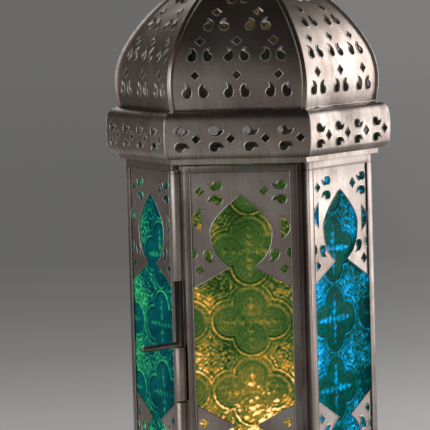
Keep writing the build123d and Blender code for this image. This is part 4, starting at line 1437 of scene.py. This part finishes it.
class LANTERN_OT_candle(bpy.types.Operator):
    """Make the candle with its cup, wick and flame"""

    bl_idname = "lantern.candle"
    bl_label = "Candle"

    def execute(self, context):
        piece = cad_copy("cup", ["candle_cup"], finish("turned silver", context), CUP_EDGE)
        settle(piece, "lantern", ["candle_cup"])
        shaft = CANDLE_TOP - 2 * MM - CANDLE_LOW
        outline = [(0, CANDLE_LOW)]
        outline += [(CANDLE_R * 0.985, CANDLE_LOW + shaft * i / 14) for i in range(15)]
        outline += [(CANDLE_R * share, CANDLE_TOP - depth * MM) for share, depth in CANDLE_POOL]
        piece = lathe("melted_candle", outline, 64, finish("candle wax", context), melted)
        settle(piece, "lantern", ["candle"])
        rise = WICK_TOP - 0.4 * MM - WICK_LOW
        path = [(WICK_LEAN * (i / 12) ** 3, 0, WICK_LOW + rise * i / 12) for i in range(13)]
        piece = beads("bent_wick", [path], WICK_R, finish("charred wick", context), 0.0, 0, 1, 10)
        settle(piece, "lantern", ["wick"])
        tall = context.scene.lantern_sizes.flame
        shape = []
        for step in range(29):
            part = step / 28
            width = sin(pi * part**0.62) ** 0.9 * FLAME_R * (1 - 0.25 * part)
            shape.append((max(width, 0.0), FLAME_FOOT + tall * part))
        colours = context.scene.lantern_colours
        light = flame_light("candle flame", colours, FLAME_FOOT, FLAME_FOOT + tall)
        piece = lathe("candle_flame", shape, 32, light)
        settle(piece, "lantern", [])
        lamp = bpy.data.lights.new("candlelight", "POINT")
        lamp.color = FLAME_LIGHT
        lamp.energy = FLAME_POWER
        lamp.shadow_soft_size = 5 * MM
        add_object("candlelight", lamp).location = (0, 0, FLAME_FOOT + 0.6 * tall)
        return {"FINISHED"}


# Soft lamps: name, place, width, height and power. All face the middle of the lantern.
SOFTBOXES = [
    ("window", (1.05, 0.55, 0.45), 0.9, 1.0, 9.8),
    ("card", (-0.98, -1.13, 0.4), 1.0, 1.3, 7.5),
    ("back card", (-0.3, 1.6, 0.55), 1.2, 1.1, 9.0),
    ("left card", (-1.5, -0.35, 0.45), 0.7, 1.0, 2.5),
]
LIT_MIDDLE = Vector((0, 0, 0.24))
# Light of the studio from below to overhead.
SKY = [
    (0.0, (0.3, 0.3, 0.3, 1)),
    (0.5, (0.17, 0.167, 0.164, 1)),
    (0.575, (0.07, 0.068, 0.066, 1)),
    (0.675, (0.042, 0.04, 0.039, 1)),
    (1.0, (0.026, 0.025, 0.024, 1)),
]
FLOOR_R = 20.0
# The camera: angles in degrees, distance and target in metres, lens in millimetres.
VIEW_TURN = 5.2697
VIEW_RISE = 5.1475
VIEW_ROLL = -1.5844
VIEW_DISTANCE = 1.9352
VIEW_TARGET = (-0.0208165, 0.0, 0.210676)
VIEW_LENS = 271.80


def softbox(name, place, width, height, energy):
    """A large soft lamp that faces the lantern."""
    lamp = bpy.data.lights.new(name, "AREA")
    lamp.shape = "RECTANGLE"
    lamp.size = width
    lamp.size_y = height
    lamp.energy = energy
    thing = add_object(name, lamp)
    thing.location = place
    thing.visible_camera = False
    thing.rotation_euler = (LIT_MIDDLE - Vector(place)).to_track_quat("-Z", "Y").to_euler()


def studio_sky():
    """A plain studio: dim overhead, paler towards the horizon and palest below it."""
    world = bpy.data.worlds.new("studio")
    bpy.context.scene.world = world
    world.use_nodes = True
    world.node_tree.nodes.clear()
    start = Wire(world.node_tree)
    rise = start.node("ShaderNodeSeparateXYZ", {0: start.node("ShaderNodeTexCoord")}, 2)
    glow = start.node("ShaderNodeBackground", {"Color": rise.clip(-1.0, 1.0).ramp(SKY), "Strength": 1.0})
    start.node("ShaderNodeOutputWorld", {"Surface": glow})


def floor_mesh():
    """A round sheet of paper, wide enough to fill the view behind the lantern."""
    around = [2 * pi * step / 96 for step in range(96)]
    mesh = bpy.data.meshes.new("floor")
    mesh.from_pydata([(FLOOR_R * cos(a), FLOOR_R * sin(a), 0) for a in around], [], [tuple(range(96))])
    return mesh


class LANTERN_OT_stage(bpy.types.Operator):
    """Make the pale floor, the soft lamps and the camera"""

    bl_idname = "lantern.stage"
    bl_label = "Stage"

    def execute(self, context):
        scene = context.scene
        scene.view_settings.view_transform = "Standard"
        floor = add_object("studio_floor", floor_mesh())
        floor.data.materials.append(studio_paper("studio paper", scene.lantern_colours))
        studio_sky()
        for box in SOFTBOXES:
            softbox(*box)
        camera = add_object("camera", bpy.data.cameras.new("camera"))
        turn, rise, roll = radians(VIEW_TURN), radians(VIEW_RISE), radians(VIEW_ROLL)
        back = Vector((sin(turn) * cos(rise), -cos(turn) * cos(rise), sin(rise)))
        right = Vector((cos(turn), sin(turn), 0))
        up = back.cross(right)
        axis_x = right * cos(roll) + up * sin(roll)
        axis_y = up * cos(roll) - right * sin(roll)
        axes = Matrix((axis_x, axis_y, back)).transposed().to_4x4()
        camera.matrix_world = Matrix.Translation(Vector(VIEW_TARGET) + back * VIEW_DISTANCE) @ axes
        camera.data.lens = VIEW_LENS
        camera.data.sensor_width = 36.0
        scene.camera = camera
        return {"FINISHED"}


class LANTERN_PT_pieces(bpy.types.Panel):
    """Lists the lantern's pieces, sizes and colours"""

    bl_idname = "LANTERN_PT_pieces"
    bl_label = "Pierced Lantern"
    bl_space_type = "VIEW_3D"
    bl_region_type = "UI"
    bl_category = "Lantern"

    def draw(self, context):
        for operator in OPERATORS:
            self.layout.operator(operator.bl_idname)
        for group in (context.scene.lantern_sizes, context.scene.lantern_colours):
            for key in group.__annotations__:
                self.layout.prop(group, key)


OPERATORS = [
    LANTERN_OT_bands,
    LANTERN_OT_dome,
    LANTERN_OT_fretwork,
    LANTERN_OT_frames,
    LANTERN_OT_panes,
    LANTERN_OT_hinge,
    LANTERN_OT_hanger,
    LANTERN_OT_candle,
    LANTERN_OT_stage,
]
CLASSES = [LanternSizes, LanternColours] + OPERATORS + [LANTERN_PT_pieces]


def register():
    for kind in CLASSES:
        bpy.utils.register_class(kind)
    bpy.types.Scene.lantern_sizes = bpy.props.PointerProperty(type=LanternSizes)
    bpy.types.Scene.lantern_colours = bpy.props.PointerProperty(type=LanternColours)


def unregister():
    del bpy.types.Scene.lantern_colours
    del bpy.types.Scene.lantern_sizes
    for kind in reversed(CLASSES):
        bpy.utils.unregister_class(kind)


def main():
    register()
    bpy.ops.lantern.bands()
    bpy.ops.lantern.dome()
    bpy.ops.lantern.fretwork()
    bpy.ops.lantern.frames()
    bpy.ops.lantern.panes()
    bpy.ops.lantern.hinge()
    bpy.ops.lantern.hanger()
    bpy.ops.lantern.candle()
    bpy.ops.lantern.stage()


if __name__ == "__main__":
    main()
